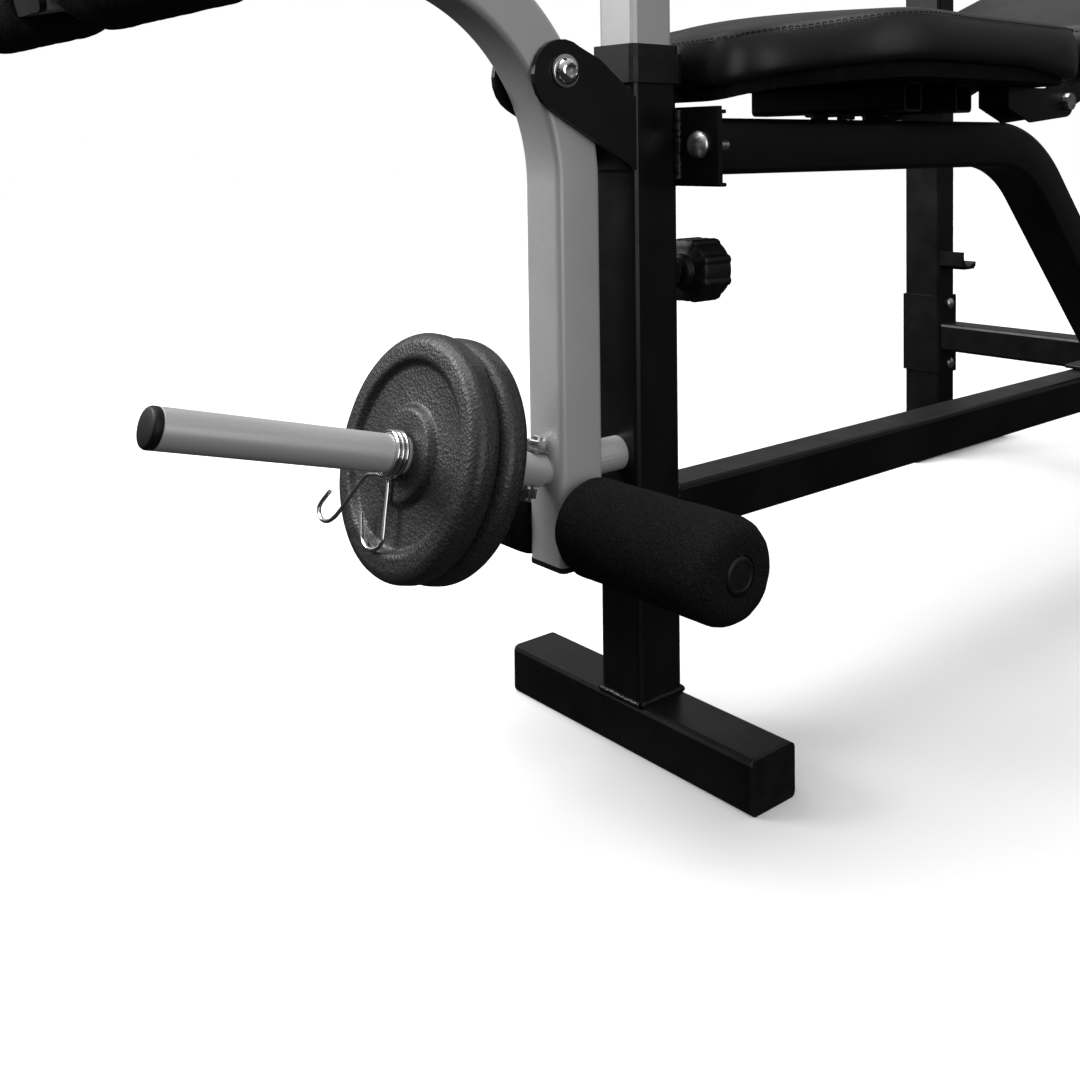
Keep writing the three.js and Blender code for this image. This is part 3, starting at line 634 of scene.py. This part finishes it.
def build_rod_cap(node, sign, beside):
    low, high = corners(node)
    end = Vector((high.x if sign > 0 else low.x, beside.y, beside.z))
    profile = rounded([
        (0.01, -15), (10.6, -15), (10.6, -3.4), (12.6, -3.4), (12.6, -1.4), (11.4, -0.3), (9.6, 0),
        (9.0, -0.5), (4, -0.35), (0.01, -0.3),
    ], 0.6)
    mesh = turned(node + "_plug", profile, end, X_AXIS * sign, 56)
    piece(node + "_plug", mesh, "leg_developer", "black_plastic", [node])


def build_rollers():
    for level in ("lower", "upper"):
        for side, sign in SIDES:
            origin = build_roller(f"roller_{level}_{side}", sign)
            build_rod_cap(f"rod_cap_{level}_{side}", sign, origin)


# ---------------------------------------------------------------- bolts, knobs, welds, caps

UPRIGHT_X, UPRIGHT_Y, UPRIGHT_TOP = 0.365, 0.925, 0.9
UPRIGHT_WIDE, UPRIGHT_DEEP = 0.060, 0.040
FOOT_PLATE_BOLTS = (("front", 0.722), ("rear", 0.832))
BEAD_PROUD = 0.0008  # how far a weld bead's middle stands off the faces that it joins


def dome_bolt(name, seat, axis, radius=11.0, rise=6.0, replaces=()):
    """A carriage-bolt head that stands on seat and faces along axis."""
    steps = 9
    profile = [(radius - 0.3, 0.02), (radius, 0.5), (radius, 1.0)]
    for i in range(1, steps + 1):
        angle = math.pi / 2 * i / steps
        profile.append((max(0.01, radius * math.cos(angle)), 1.0 + (rise - 1.0) * math.sin(angle)))
    return piece(name, turned(name, profile, seat, axis, 48), "frame", "zinc", replaces, 50)


def nut_mesh(name, seat, axis, flats, thick, tail):
    """A washer, a nut and a bolt's end."""
    bolt = flats * 0.62
    profile = [
        (0.01, 0), (flats * 1.35, 0), (flats * 1.38, 0.5), (flats * 1.35, 1.2), (flats, 1.25), (flats, thick),
        (flats * 0.93, thick + 0.6), (bolt, thick + 0.7), (bolt, thick + tail),
        (bolt * 0.8, thick + tail + 0.7), (0.01, thick + tail + 0.7),
    ]

    def six_sided(angle, radius, along):
        on_nut = abs(radius - flats) < flats * 0.1 and along > 1.22
        return hexagonal(angle, radius) if on_nut else radius

    return turned(name, profile, seat, axis, 48, six_sided)


def build_flange_bolts():
    flange_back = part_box("seat_frame_tube")[0][1] + 0.0041
    flange_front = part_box("post_flange")[0][1]
    for side, _ in SIDES:
        node = f"flange_bolt_{side}"
        middle = centre(node)
        front = Vector((middle.x, flange_front, middle.z))
        back = Vector((middle.x, flange_back, middle.z))
        dome_bolt(node + "_head", front, -Y_AXIS, replaces=[node])
        piece(node + "_nut", nut_mesh(node + "_nut", back, Y_AXIS, 6.5, 6.5, 14.0), "frame", "zinc")


def knob_mesh(name, seat, axis, reach):
    """An eight-lobed clamping knob with flat panels between its ribs; reach runs from seat to its top."""
    lobes, radius, panel_depth, rib_rise = 8, 26.6, 1.6, 1.9
    head_from, hub_radius, rib_share = 24, 20, 0.14

    def lobed(angle, r, along):
        if r < hub_radius or along < head_from:
            return r
        wave = abs(math.sin(lobes * angle / 2))
        rib = max(0.0, wave - (1 - rib_share)) / rib_share
        return r - panel_depth + rib_rise * rib ** 0.5

    top = reach / MM
    profile = [
        (5, -1.8), (5, 12), (8.5, 12), (8.5, 13.5), (5.4, 13.5), (5.4, 19), (11.5, 19), (13.5, 20.5),
        (14, 25.5), (21, 26.2), (radius - 0.8, 27.5), (radius, 30), (radius, top - 6),
        (radius - 1, top - 2.2), (radius - 4.5, top - 0.3), (17, top), (15.5, top - 1.2), (6, top - 1.0),
        (0.01, top - 1.0),
    ]
    return turned(name, rounded(profile, 0.7, 2), seat, axis, 192, lobed)


def build_knob(node, seat, axis, reach):
    mesh = knob_mesh(node + "_moulding", seat, axis, reach)
    piece(node + "_moulding", mesh, node, "black_plastic", [node], 28)


def build_knobs():
    """Each knob's screw starts 12 mm inside the tube that it clamps."""
    screw_start = 0.012
    seat = Vector((0, POST_HIGH.y - screw_start, centre("post_knob").z))
    build_knob("post_knob", seat, Y_AXIS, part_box("post_knob")[1][1] - seat.y)
    for side, sign in SIDES:
        node = f"rack_knob_{side}"
        low, high = corners(node)
        clamped = UPRIGHT_X + UPRIGHT_WIDE / 2
        seat = Vector((sign * clamped, (low.y + high.y) / 2, (low.z + high.z) / 2))
        build_knob(node, seat, X_AXIS * sign, max(abs(low.x), abs(high.x)) - abs(seat.x))


def weld(name, route, radius=2.6):
    """A painted weld bead along straight runs between the points of route."""
    points = []
    for a, b in zip(route, route[1:]):
        points += line(a, b)[:-1]
    points.append(route[-1])
    mesh = wire(name, points, radius * MM, 10, lumps=0.30, seed=len(name))
    return piece(name, mesh, "frame", "black_coat", smooth_degrees=80)


def square_loop(middle, u, v):
    """A closed route round middle, with half-sides u and v."""
    turns = ((1, -1), (1, 1), (-1, 1), (-1, -1), (1, -1))
    return [Vector([m + a * p + b * q for m, p, q in zip(middle, u, v)]) for a, b in turns]


def build_welds():
    half = (POST_HIGH.x - POST_LOW.x) / 2
    foot_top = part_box("front_foot")[1][2] + BEAD_PROUD
    weld("weld_front_foot", square_loop((0, 0, foot_top), (half, 0, 0), (0, half * 0.98, 0)))

    flange_low, flange_high = corners("post_flange")
    bracket_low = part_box("pivot_bracket")[0][2]
    bracket_weld_top = 0.499
    for side, sign in SIDES:
        corner = Vector((sign * (half + 0.001), flange_low.y - 0.0012, 0))
        run = [corner + Z_AXIS * (flange_low.z + 0.004), corner + Z_AXIS * (flange_high.z - 0.002)]
        weld(f"weld_flange_{side}", run, 4.2)
        corner = Vector((sign * half, -half - 0.001, 0))
        run = [corner + Z_AXIS * (bracket_low + 0.004), corner + Z_AXIS * bracket_weld_top]
        weld(f"weld_bracket_{side}", run, 1.6)
        foot_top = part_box(f"rear_foot_{side}")[1][2] + BEAD_PROUD
        middle = (sign * UPRIGHT_X, UPRIGHT_Y, foot_top)
        across, lengthwise = UPRIGHT_WIDE / 2 - 0.0005, UPRIGHT_DEEP / 2 - 0.0005
        weld(f"weld_rear_foot_{side}", square_loop(middle, (across, 0, 0), (0, lengthwise, 0)))

    low, high = corners("stringer")
    edge_x, post_face = high.x - 0.0005, half + BEAD_PROUD
    route = [(edge_x, low.z), (edge_x, high.z), (-edge_x, high.z), (-edge_x, low.z)]
    weld("weld_stringer", [Vector((x, post_face, z)) for x, z in route], 2.2)


def build_small_zinc():
    """Dome heads on the sleeves and the foot plate, and the nuts under the seat rails."""
    for side, sign in SIDES:
        low, high = corners(f"upright_sleeve_{side}")
        inner, outer = (low.x, high.x) if sign > 0 else (high.x, low.x)
        for level, drop in (("upper", 0.012), ("lower", 0.101)):
            seat = Vector((inner, low.y + 0.026, high.z - drop))
            dome_bolt(f"sleeve_bolt_{level}_{side}", seat, -X_AXIS * sign, 8.0, 5.0)
            name = f"sleeve_nut_{level}_{side}"
            behind = Vector((outer, seat.y, seat.z))
            piece(name, nut_mesh(name, behind, X_AXIS * sign, 6.0, 5.5, 2.0), "frame", "zinc")

    plate_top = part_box("stringer")[1][2] + 0.005
    for name, y in FOOT_PLATE_BOLTS:
        dome_bolt(f"foot_plate_bolt_{name}", Vector((0, y, plate_top)), Z_AXIS, 9.0, 5.0)

    nut = [(0.01, 0), (6.4, 0), (6.5, 1.2), (5.6, 1.4), (5.6, 5.0), (0.01, 5.1)]
    for rail in ("front", "rear"):
        rail_y = centre(f"seat_rail_{rail}").y
        for side, sign in SIDES:
            spot = Vector((sign * 0.015, rail_y, SEAT_TUBE_Z + SEAT_TUBE_TALL / 2 + 0.0001))
            name = f"rail_nut_{rail}_{side}"
            piece(name, turned(name, nut, spot, Z_AXIS, 36), "frame", "zinc")


def plug_cap(name, face, axis, width, height):
    """A plug cap on a tube's end: a thin rounded head with a shallow dish."""
    turn = frame_along(axis)
    wide_first = abs(turn.col[0].z) < 0.5
    a, b = (width, height) if wide_first else (height, width)
    steps = (
        (2.2, -9, 1.5), (2.2, 0.02, 2.5), (0, 0.03, 4.0), (0, 2.0, 4.0),
        (0.5, 2.8, 4.2), (1.4, 3.1, 4.4), (4.5, 3.0, 3.5), (6.5, 2.5, 3.0),
    )
    rings = []
    for shrink, along, corner in steps:
        section = rect_section(a - 2 * shrink * MM, b - 2 * shrink * MM, corner * MM)
        rings.append([Vector(face) + turn @ Vector((u, v, along * MM)) for u, v in section])
    return piece(name, loft(name, rings), "frame", "black_plastic")


def build_plugs():
    """Plug caps on the rear feet and the support bar, and a collar on top of each upright."""
    bar_middle = centre("support_bar")
    bar_low, bar_high = corners("support_bar")
    bar_cap = rounded([
        (0.01, -10), (10.2, -10), (10.2, 0.02), (12.3, 0.02), (12.3, 1.6), (11, 2.6), (0.01, 2.8),
    ], 0.6)
    collar_steps = (
        (0.4, -14), (3.0, -14), (3.4, -13), (3.4, 3), (2.6, 4.6), (-1.0, 5.0), (-2.3, 4.6), (-2.3, -14),
    )
    for side, sign in SIDES:
        low, high = corners(f"rear_foot_{side}")
        middle = (low + high) / 2
        for end, y, axis in (("front", low.y, -Y_AXIS), ("back", high.y, Y_AXIS)):
            face = (middle.x, y, middle.z)
            plug_cap(f"rear_foot_plug_{end}_{side}", face, axis, high.x - low.x, high.z - low.z)

        name = f"support_bar_plug_{side}"
        at = Vector((bar_high.x if sign > 0 else bar_low.x, bar_middle.y, bar_middle.z))
        piece(name, turned(name, bar_cap, at, X_AXIS * sign, 48), "support_bar", "black_plastic")

        rings = []
        for grow, rise in collar_steps:
            section = rect_section(UPRIGHT_WIDE + 2 * grow * MM, UPRIGHT_DEEP + 2 * grow * MM, 0.0045)
            z = UPRIGHT_TOP + rise * MM
            rings.append([Vector((sign * UPRIGHT_X + u, UPRIGHT_Y + v, z)) for u, v in section])
        name = f"upright_collar_{side}"
        piece(name, loft(name, rings, looped=True), "frame", "black_plastic")


# ---------------------------------------------------------------- seat frame tube

SEAT_TUBE_WIDE, SEAT_TUBE_TALL, SEAT_TUBE_Z = 0.050, 0.045, 0.464
SEAT_TUBE_BEND_Y, SEAT_TUBE_BEND_RADIUS, SEAT_TUBE_BEND_DEGREES = 0.478, 0.1425, 47
FLANGE_HALF, FLANGE_THICK, FLANGE_LIP, FLANGE_LOW, FLANGE_HIGH = 0.062, 0.004, 0.008, 0.436, 0.489
FOOT_PLATE_FROM, FOOT_PLATE_TO, FOOT_PLATE_THICK = 0.700, 0.850, 0.0047


def seat_tube_path(start, foot):
    """Level from start, round the bend, down to the foot; returned with the run that falls by one metre."""
    bend_at = Vector((0, SEAT_TUBE_BEND_Y, SEAT_TUBE_Z))
    radius, turn = SEAT_TUBE_BEND_RADIUS, math.radians(SEAT_TUBE_BEND_DEGREES)
    path = [start.lerp(bend_at, i / 10) for i in range(10)]
    steps = 40
    for i in range(steps + 1):
        angle = math.radians(90 - SEAT_TUBE_BEND_DEGREES * i / steps)
        y, z = SEAT_TUBE_BEND_Y + radius * math.cos(angle), SEAT_TUBE_Z - radius + radius * math.sin(angle)
        path.append(Vector((0, y, z)))
    along = Vector((0, math.cos(turn), -math.sin(turn)))
    end = path[-1]
    reach = (end.z - foot) / math.sin(turn)
    path += [end + along * reach * i / 8 for i in range(1, 9)]
    return path, along / math.sin(turn)


def build_seat_tube():
    """The bent tube with its lipped flange, its foot plate and the weld round its front end."""
    low = corners("seat_frame_tube")[0]
    foot = low.z + 0.0035
    path, fall = seat_tube_path(Vector((0, low.y + 0.002, SEAT_TUBE_Z)), foot)
    tube = side_sweep("seat_tube", path, rect_section(SEAT_TUBE_WIDE, SEAT_TUBE_TALL, 0.005))
    for vertex in tube.vertices:
        if vertex.co.z < foot:
            vertex.co += fall * (vertex.co.z - foot)
    lip_back = low.y + FLANGE_LIP
    half_wide = SEAT_TUBE_WIDE / 2
    parts = [tube]
    flange_high = (FLANGE_HALF, low.y + FLANGE_THICK, FLANGE_HIGH)
    parts.append(box_mesh((-FLANGE_HALF, low.y, FLANGE_LOW), flange_high, 0.0012))
    for lip in (FLANGE_HIGH - 0.0005, FLANGE_LOW - 0.0025):
        parts.append(box_mesh((-FLANGE_HALF, low.y, lip), (FLANGE_HALF, lip_back, lip + 0.003), 0.001))
    plate_low = (-half_wide, FOOT_PLATE_FROM, low.z)
    parts.append(box_mesh(plate_low, (half_wide, FOOT_PLATE_TO, low.z + FOOT_PLATE_THICK), 0.0015))
    piece("seat_tube_skin", merged("seat_tube_skin", parts), "frame", "black_coat", ["seat_frame_tube"])
    middle = (0, low.y + FLANGE_THICK + 0.0005, SEAT_TUBE_Z)
    weld("weld_seat_flange", square_loop(middle, (half_wide, 0, 0), (0, 0, SEAT_TUBE_TALL / 2)), 2.2)


def box_mesh(low, high, edge):
    """A block with rounded edges."""
    low, high = Vector(low), Vector(high)
    mesh = bpy.data.meshes.new("block")
    work = bmesh.new()
    bmesh.ops.create_cube(work, size=1.0)
    for vertex in work.verts:
        vertex.co = Vector((low[i] + (vertex.co[i] + 0.5) * (high[i] - low[i]) for i in range(3)))
    bmesh.ops.bevel(work, geom=list(work.edges), offset=edge, segments=3, affect="EDGES", profile=0.5)
    work.to_mesh(mesh)
    work.free()
    return mesh


# ---------------------------------------------------------------- cushions

def seat_outline():
    """Right half of the seat's plan from front to rear, in metres, then mirrored: a closed loop."""
    low, high = corners("seat_cushion")
    half, front, rear = high.x, low.y, high.y
    nose = half * 0.413
    curves = [
        [(0, front), (nose * 0.35, front), (nose - 0.024, front)],
        [(nose - 0.024, front), (nose, front), (nose + 0.003, front + 0.030)],
        [(nose + 0.003, front + 0.030), (nose + 0.012, 0.110), (half, 0.112), (half, 0.205)],
        [(half, 0.205), (half, (0.205 + rear - 0.075) / 2), (half, rear - 0.075)],
        [(half, rear - 0.075), (half, rear), (half - 0.075, rear)],
        [(half - 0.075, rear), (half / 4, rear), (0, rear)],
    ]
    right = []
    for curve, steps in zip(curves, (4, 8, 18, 12, 14, 8)):
        pts = [Vector((x, y, 0)) for x, y in curve]
        for s in range(steps):
            right.append(bezier(pts, s / steps))
    right.append(Vector((0, rear, 0)))
    left = [Vector((-p.x, p.y, 0)) for p in reversed(right[1:-1])]
    return right + left


def bezier(points, t):
    while len(points) > 1:
        points = [a.lerp(b, t) for a, b in zip(points, points[1:])]
    return points[0]


def slab_outline(half, from_y, to_y, corner, steps=10):
    """A rounded rectangle as a closed loop, with points along its straight sides."""
    middle = (from_y + to_y) / 2
    section = rect_section(2 * half, to_y - from_y, corner, steps)
    loop = []
    for a, b in zip(section, section[1:] + section[:1]):
        gap = math.dist(a, b)
        count = max(1, round(gap / 0.012))
        for s in range(count):
            t = s / count
            loop.append(Vector((a[0] + (b[0] - a[0]) * t, middle + a[1] + (b[1] - a[1]) * t, 0)))
    return loop


def inward(loop):
    """Inward unit normals of a counter-clockwise loop."""
    result = []
    count = len(loop)
    for i, here in enumerate(loop):
        along = (loop[(i + 1) % count] - loop[i - 1]).normalized()
        result.append(Vector((-along.y, along.x, 0)))
    return result


PAD_PROFILE = (  # (inset in mm, share of the pad's height), from the underside to the seam and over the top
    (20, 0.0), (13, 0.0), (7, 0.005), (3, 0.05), (1.0, 0.15), (0.2, 0.29), (0.0, 0.43), (0.5, 0.57),
    (1.5, 0.69), (2.9, 0.79), (4.3, 0.855), (5.4, 0.875), (6.6, 0.90), (9.5, 0.935), (14.5, 0.958),
)
SEAM_RING = 11
SHOULDER = PAD_PROFILE[-1][1]
TOP_SHARES = (0.22, 0.38, 0.55, 0.72, 0.88, 1.0)
PUFF_FRAMES, SMOOTHING_ROUNDS, PUFF_LIMIT = 14, 14, 0.004


def pad(name, node, body, loop, spine, low, high, drop=None, place=None, sag=None):
    """A boxed cushion: a side band and a top panel meet at a stitched seam, puffed out by cloth."""
    normals = inward(loop)
    height = high - low

    def lift(point, z):
        point = Vector((point.x, point.y, z))
        if drop:
            point.z -= drop(point.y)
        if sag:
            point.z -= sag(point) * max(0.0, 1 - (z - low) / (0.6 * height))
        return point

    underside = [[lift(p.lerp(spine(p), share), low) for p in loop] for share in (1.0, 0.6)]
    side = []
    for inset, share in PAD_PROFILE:
        side.append([lift(p + n * inset * MM, low + height * share) for p, n in zip(loop, normals)])
    edge = [p + n * PAD_PROFILE[-1][0] * MM for p, n in zip(loop, normals)]
    half_width = max(p.x for p in edge)
    front, rear = min(p.y for p in edge), max(p.y for p in edge)

    def crowned(p, share):
        at = p.lerp(spine(p), share)
        across = at.x / half_width
        lengthwise = (2 * at.y - front - rear) / (rear - front)
        dome = (1 - across ** 2) * (1 - lengthwise ** 4) * (1 - (1 - share) ** 3)
        return lift(at, low + height * (SHOULDER + (1 - SHOULDER) * dome))

    top = [[crowned(p, share) for p in edge] for share in TOP_SHARES]
    rings = underside + side + top
    mesh = loft(name, rings, closed_ends=False)
    obj = bpy.data.objects.new(name, mesh)
    bpy.context.scene.collection.objects.link(obj)
    puff_up(obj, low, drop)
    seam = seam_route(obj, rings[len(underside) + SEAM_RING])
    for vertex in obj.data.vertices:
        wrinkle = noise.noise(vertex.co * 24) + 0.6 * noise.noise(vertex.co * 70)
        share = max(0.0, (vertex.co.z - low + (drop(vertex.co.y) if drop else 0)) / height)
        if share > 0.03:
            vertex.co += Vector((vertex.co.x, 0, 0)).normalized() * 0.0005 * wrinkle
    stitches = stitch_mesh(name + "_stitches", seam)
    if place:
        obj.data.transform(place)
        stitches.transform(place)
    bpy.data.objects.remove(obj)
    cushion = piece(name, mesh, body, "black_vinyl", [node], 75)
    subdivision = cushion.modifiers.new("fine_surface", "SUBSURF")
    subdivision.levels = 1
    subdivision.render_levels = 2
    piece(name + "_stitches", stitches, body, "black_vinyl", material=THREAD)
    return cushion


def puff_up(obj, low, drop):
    """Cloth under pressure, with the underside held; no point moves further than PUFF_LIMIT."""
    rest = [v.co.copy() for v in obj.data.vertices]
    held = obj.vertex_groups.new(name="held")
    for vertex in obj.data.vertices:
        if vertex.co.z + (drop(vertex.co.y) if drop else 0) < low + 0.0022:
            held.add([vertex.index], 1.0, "REPLACE")
    cloth = obj.modifiers.new("cloth", "CLOTH")
    cloth.settings.vertex_group_mass = "held"
    cloth.settings.use_pressure = True
    cloth.settings.uniform_pressure_force = 3.0
    cloth.settings.effector_weights.gravity = 0
    cloth.settings.tension_stiffness = 30
    cloth.settings.compression_stiffness = 30
    cloth.settings.bending_stiffness = 2
    cloth.point_cache.frame_start = 1
    cloth.point_cache.frame_end = PUFF_FRAMES
    scene = bpy.context.scene
    for number in range(1, PUFF_FRAMES + 1):
        scene.frame_set(number)
    shaped = obj.evaluated_get(bpy.context.evaluated_depsgraph_get()).data
    moved = [v.co.copy() for v in shaped.vertices]
    obj.modifiers.remove(cloth)
    scene.frame_set(1)
    shifts = []
    for start, end in zip(rest, moved):
        shift = end - start
        shifts.append(shift.normalized() * PUFF_LIMIT if shift.length > PUFF_LIMIT else shift)
    neighbours = [[] for _ in rest]
    for edge in obj.data.edges:
        a, b = edge.vertices
        neighbours[a].append(b)
        neighbours[b].append(a)
    for _ in range(SMOOTHING_ROUNDS):
        shifts = [
            (own + sum((shifts[n] for n in near), Vector())) / (1 + len(near))
            for own, near in zip(shifts, neighbours)
        ]
    for vertex, start, shift in zip(obj.data.vertices, rest, shifts):
        vertex.co = start + shift


def seam_route(obj, ring):
    """The seam after the simulation: the vertex that now lies nearest to each of the ring's points."""
    route = []
    for point in ring:
        near = min(obj.data.vertices, key=lambda v: (v.co - point).length_squared)
        route.append(near.co.copy())
    return route


def stitch_mesh(name, seam):
    """A row of short thread stitches just above the seam."""
    route = spline(seam + [seam[0]], 4)
    lengths = [0.0]
    for a, b in zip(route, route[1:]):
        lengths.append(lengths[-1] + (b - a).length)
    pitch, share = 0.0052, 0.62
    parts = []
    at = 0.0
    index = 0

    def point_at(distance):
        nonlocal index
        while index + 2 < len(lengths) and lengths[index + 1] < distance:
            index += 1
        span = max(lengths[index + 1] - lengths[index], 1e-9)
        return route[index].lerp(route[index + 1], (distance - lengths[index]) / span)

    while at + pitch < lengths[-1]:
        a = point_at(at)
        b = point_at(at + pitch * share)
        away = Vector((a.x, a.y - sum(p.y for p in seam) / len(seam), 0)).normalized()
        lift = away * 0.0007 + Vector((0, 0, 0.0010))
        middle = a.lerp(b, 0.5) + lift * 1.25
        route_up = [a + lift * 0.4, a.lerp(b, 0.2) + lift, middle]
        route_down = [a.lerp(b, 0.8) + lift, b + lift * 0.4]
        parts.append(wire("stitch", route_up + route_down, 0.00042, 6))
        at += pitch
    return merged(name, parts)


def between(start, end, inset):
    """The nearest point of a line down the middle that stops inset short of both ends, for any point."""
    return lambda p: Vector((0, min(max(p.y, start + inset), end - inset), 0))


def build_cushions():
    low, high = corners("seat_cushion")
    level, fall = 0.190, 0.023
    base = high.z - 0.040

    def drop(y):
        t = min(1.0, max(0.0, (level - y) / (level - low.y)))
        return fall * t ** 1.7

    def spine(point):
        return Vector((0, min(max(point.y, low.y + 0.050), high.y - 0.110), 0))

    def sag(point):
        rear = min(1.0, max(0.0, (point.y - 0.30) / 0.12))
        ripple = noise.noise(Vector((point.x, point.y, 0)) * 45)
        return 0.009 * rear * rear * (3 - 2 * rear) + 0.0007 * ripple

    top = high.z + 0.0025
    pad("seat_cushion_padded", "seat_cushion", "frame", seat_outline(), spine, base, top, drop, sag=sag)

    tilt = Matrix.Translation(HINGE) @ Matrix.Rotation(BACK_TILT, 4, "X")
    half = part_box("backrest_cushion")[1][0]
    start, end, foam, thick = 0.036, 0.705, 0.0251, 0.042
    pad("backrest_cushion_padded", "backrest_cushion", "backrest", slab_outline(half, start, end, 0.038),
        between(start, end, 0.10), foam, foam + thick - 0.001, None, tilt)

    curl = Matrix.Translation((0, -0.002, 0.910)) @ Matrix.Rotation(CURL_TILT, 4, "X")
    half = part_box("arm_curl_cushion")[1][0]
    pad("arm_curl_cushion_padded", "arm_curl_cushion", "arm_curl", slab_outline(half, -0.115, 0.115, 0.032),
        between(-0.115, 0.115, 0.09), 0.0126, 0.0556, None, curl)


# ---------------------------------------------------------------- camera, floor and light

def build_stage():
    scene = bpy.context.scene
    yaw, pitch, roll = (math.radians(a) for a in (47.936, 2.433, 0.582))
    ahead = Vector((-math.sin(yaw) * math.cos(pitch), math.cos(yaw) * math.cos(pitch), -math.sin(pitch)))
    level = Vector((math.cos(yaw), math.sin(yaw), 0))
    down = ahead.cross(level)
    right = level * math.cos(roll) + down * math.sin(roll)
    down = down * math.cos(roll) - level * math.sin(roll)
    data = bpy.data.cameras.new("camera")
    data.sensor_width = 36
    data.lens = 40.57
    data.shift_x = -0.0869
    data.shift_y = -0.3129
    data.clip_start = 0.02
    camera = bpy.data.objects.new("camera", data)
    turn = Matrix((right, -down, -ahead)).transposed().to_4x4()
    camera.matrix_world = Matrix.Translation((0.6939, -0.6293, 0.4615)) @ turn
    scene.collection.objects.link(camera)
    scene.camera = camera

    floor_mesh = mesh_from("floor", [(-14, -14, 0), (14, -14, 0), (14, 14, 0), (-14, 14, 0)], [(0, 1, 2, 3)])
    floor = bpy.data.objects.new("floor", floor_mesh)
    scene.collection.objects.link(floor)
    paper = Nodes("pale_floor", grey(0.93), 0.9)
    paper.set("Specular IOR Level", 0.1)
    floor_mesh.materials.append(paper.material)
    floor.visible_diffuse = False
    floor.visible_glossy = False

    world = bpy.data.worlds.new("studio")
    world.use_nodes = True
    tree = world.node_tree
    backdrop = tree.nodes["Background"]
    backdrop.inputs["Color"].default_value = (1, 1, 1, 1)
    backdrop.inputs["Strength"].default_value = 1.0
    surround = tree.nodes.new("ShaderNodeBackground")
    direction = tree.nodes.new("ShaderNodeTexCoord")
    split = tree.nodes.new("ShaderNodeSeparateXYZ")
    height = tree.nodes.new("ShaderNodeMapRange")
    height.inputs["From Min"].default_value = -0.12
    height.inputs["From Max"].default_value = 1.0
    height.inputs["To Min"].default_value = 0.03
    height.inputs["To Max"].default_value = 0.85
    tree.links.new(direction.outputs["Generated"], split.inputs[0])
    tree.links.new(split.outputs["Z"], height.inputs["Value"])
    tree.links.new(height.outputs["Result"], surround.inputs["Strength"])
    seen = tree.nodes.new("ShaderNodeLightPath")
    mix = tree.nodes.new("ShaderNodeMixShader")
    tree.links.new(seen.outputs["Is Camera Ray"], mix.inputs[0])
    tree.links.new(surround.outputs[0], mix.inputs[1])
    tree.links.new(backdrop.outputs[0], mix.inputs[2])
    tree.links.new(mix.outputs[0], tree.nodes["World Output"].inputs["Surface"])
    scene.world = world
    scene.view_settings.view_transform = "Standard"

    sun = bpy.data.lights.new("overhead_sun", "SUN")
    sun.energy = 2.6
    sun.angle = math.radians(50)
    overhead = bpy.data.objects.new("overhead_sun", sun)
    overhead.rotation_euler = (math.radians(14), math.radians(-12), 0)
    scene.collection.objects.link(overhead)
    for name, at, aim, size, watts in (
        ("front_left", (-1.9, -1.9, 1.9), (0, 0.0, 0.35), 1.5, 66),
        ("right_side", (2.5, -0.2, 0.9), (0, 0.3, 0.4), 2.0, 18),
    ):
        lamp = bpy.data.lights.new(name, "AREA")
        lamp.shape = "DISK"
        lamp.size = size
        lamp.energy = watts
        light = bpy.data.objects.new(name, lamp)
        light.location = at
        light.rotation_euler = (Vector(aim) - Vector(at)).to_track_quat("-Z", "Y").to_euler()
        scene.collection.objects.link(light)


build_stage()
dress_cad_nodes()
build_leg_tube()
build_horn()
build_plates()
build_spring_collar()
build_pivot_bolt()
build_rollers()
build_flange_bolts()
build_knobs()
build_welds()
build_small_zinc()
build_plugs()
build_seat_tube()
build_cushions()
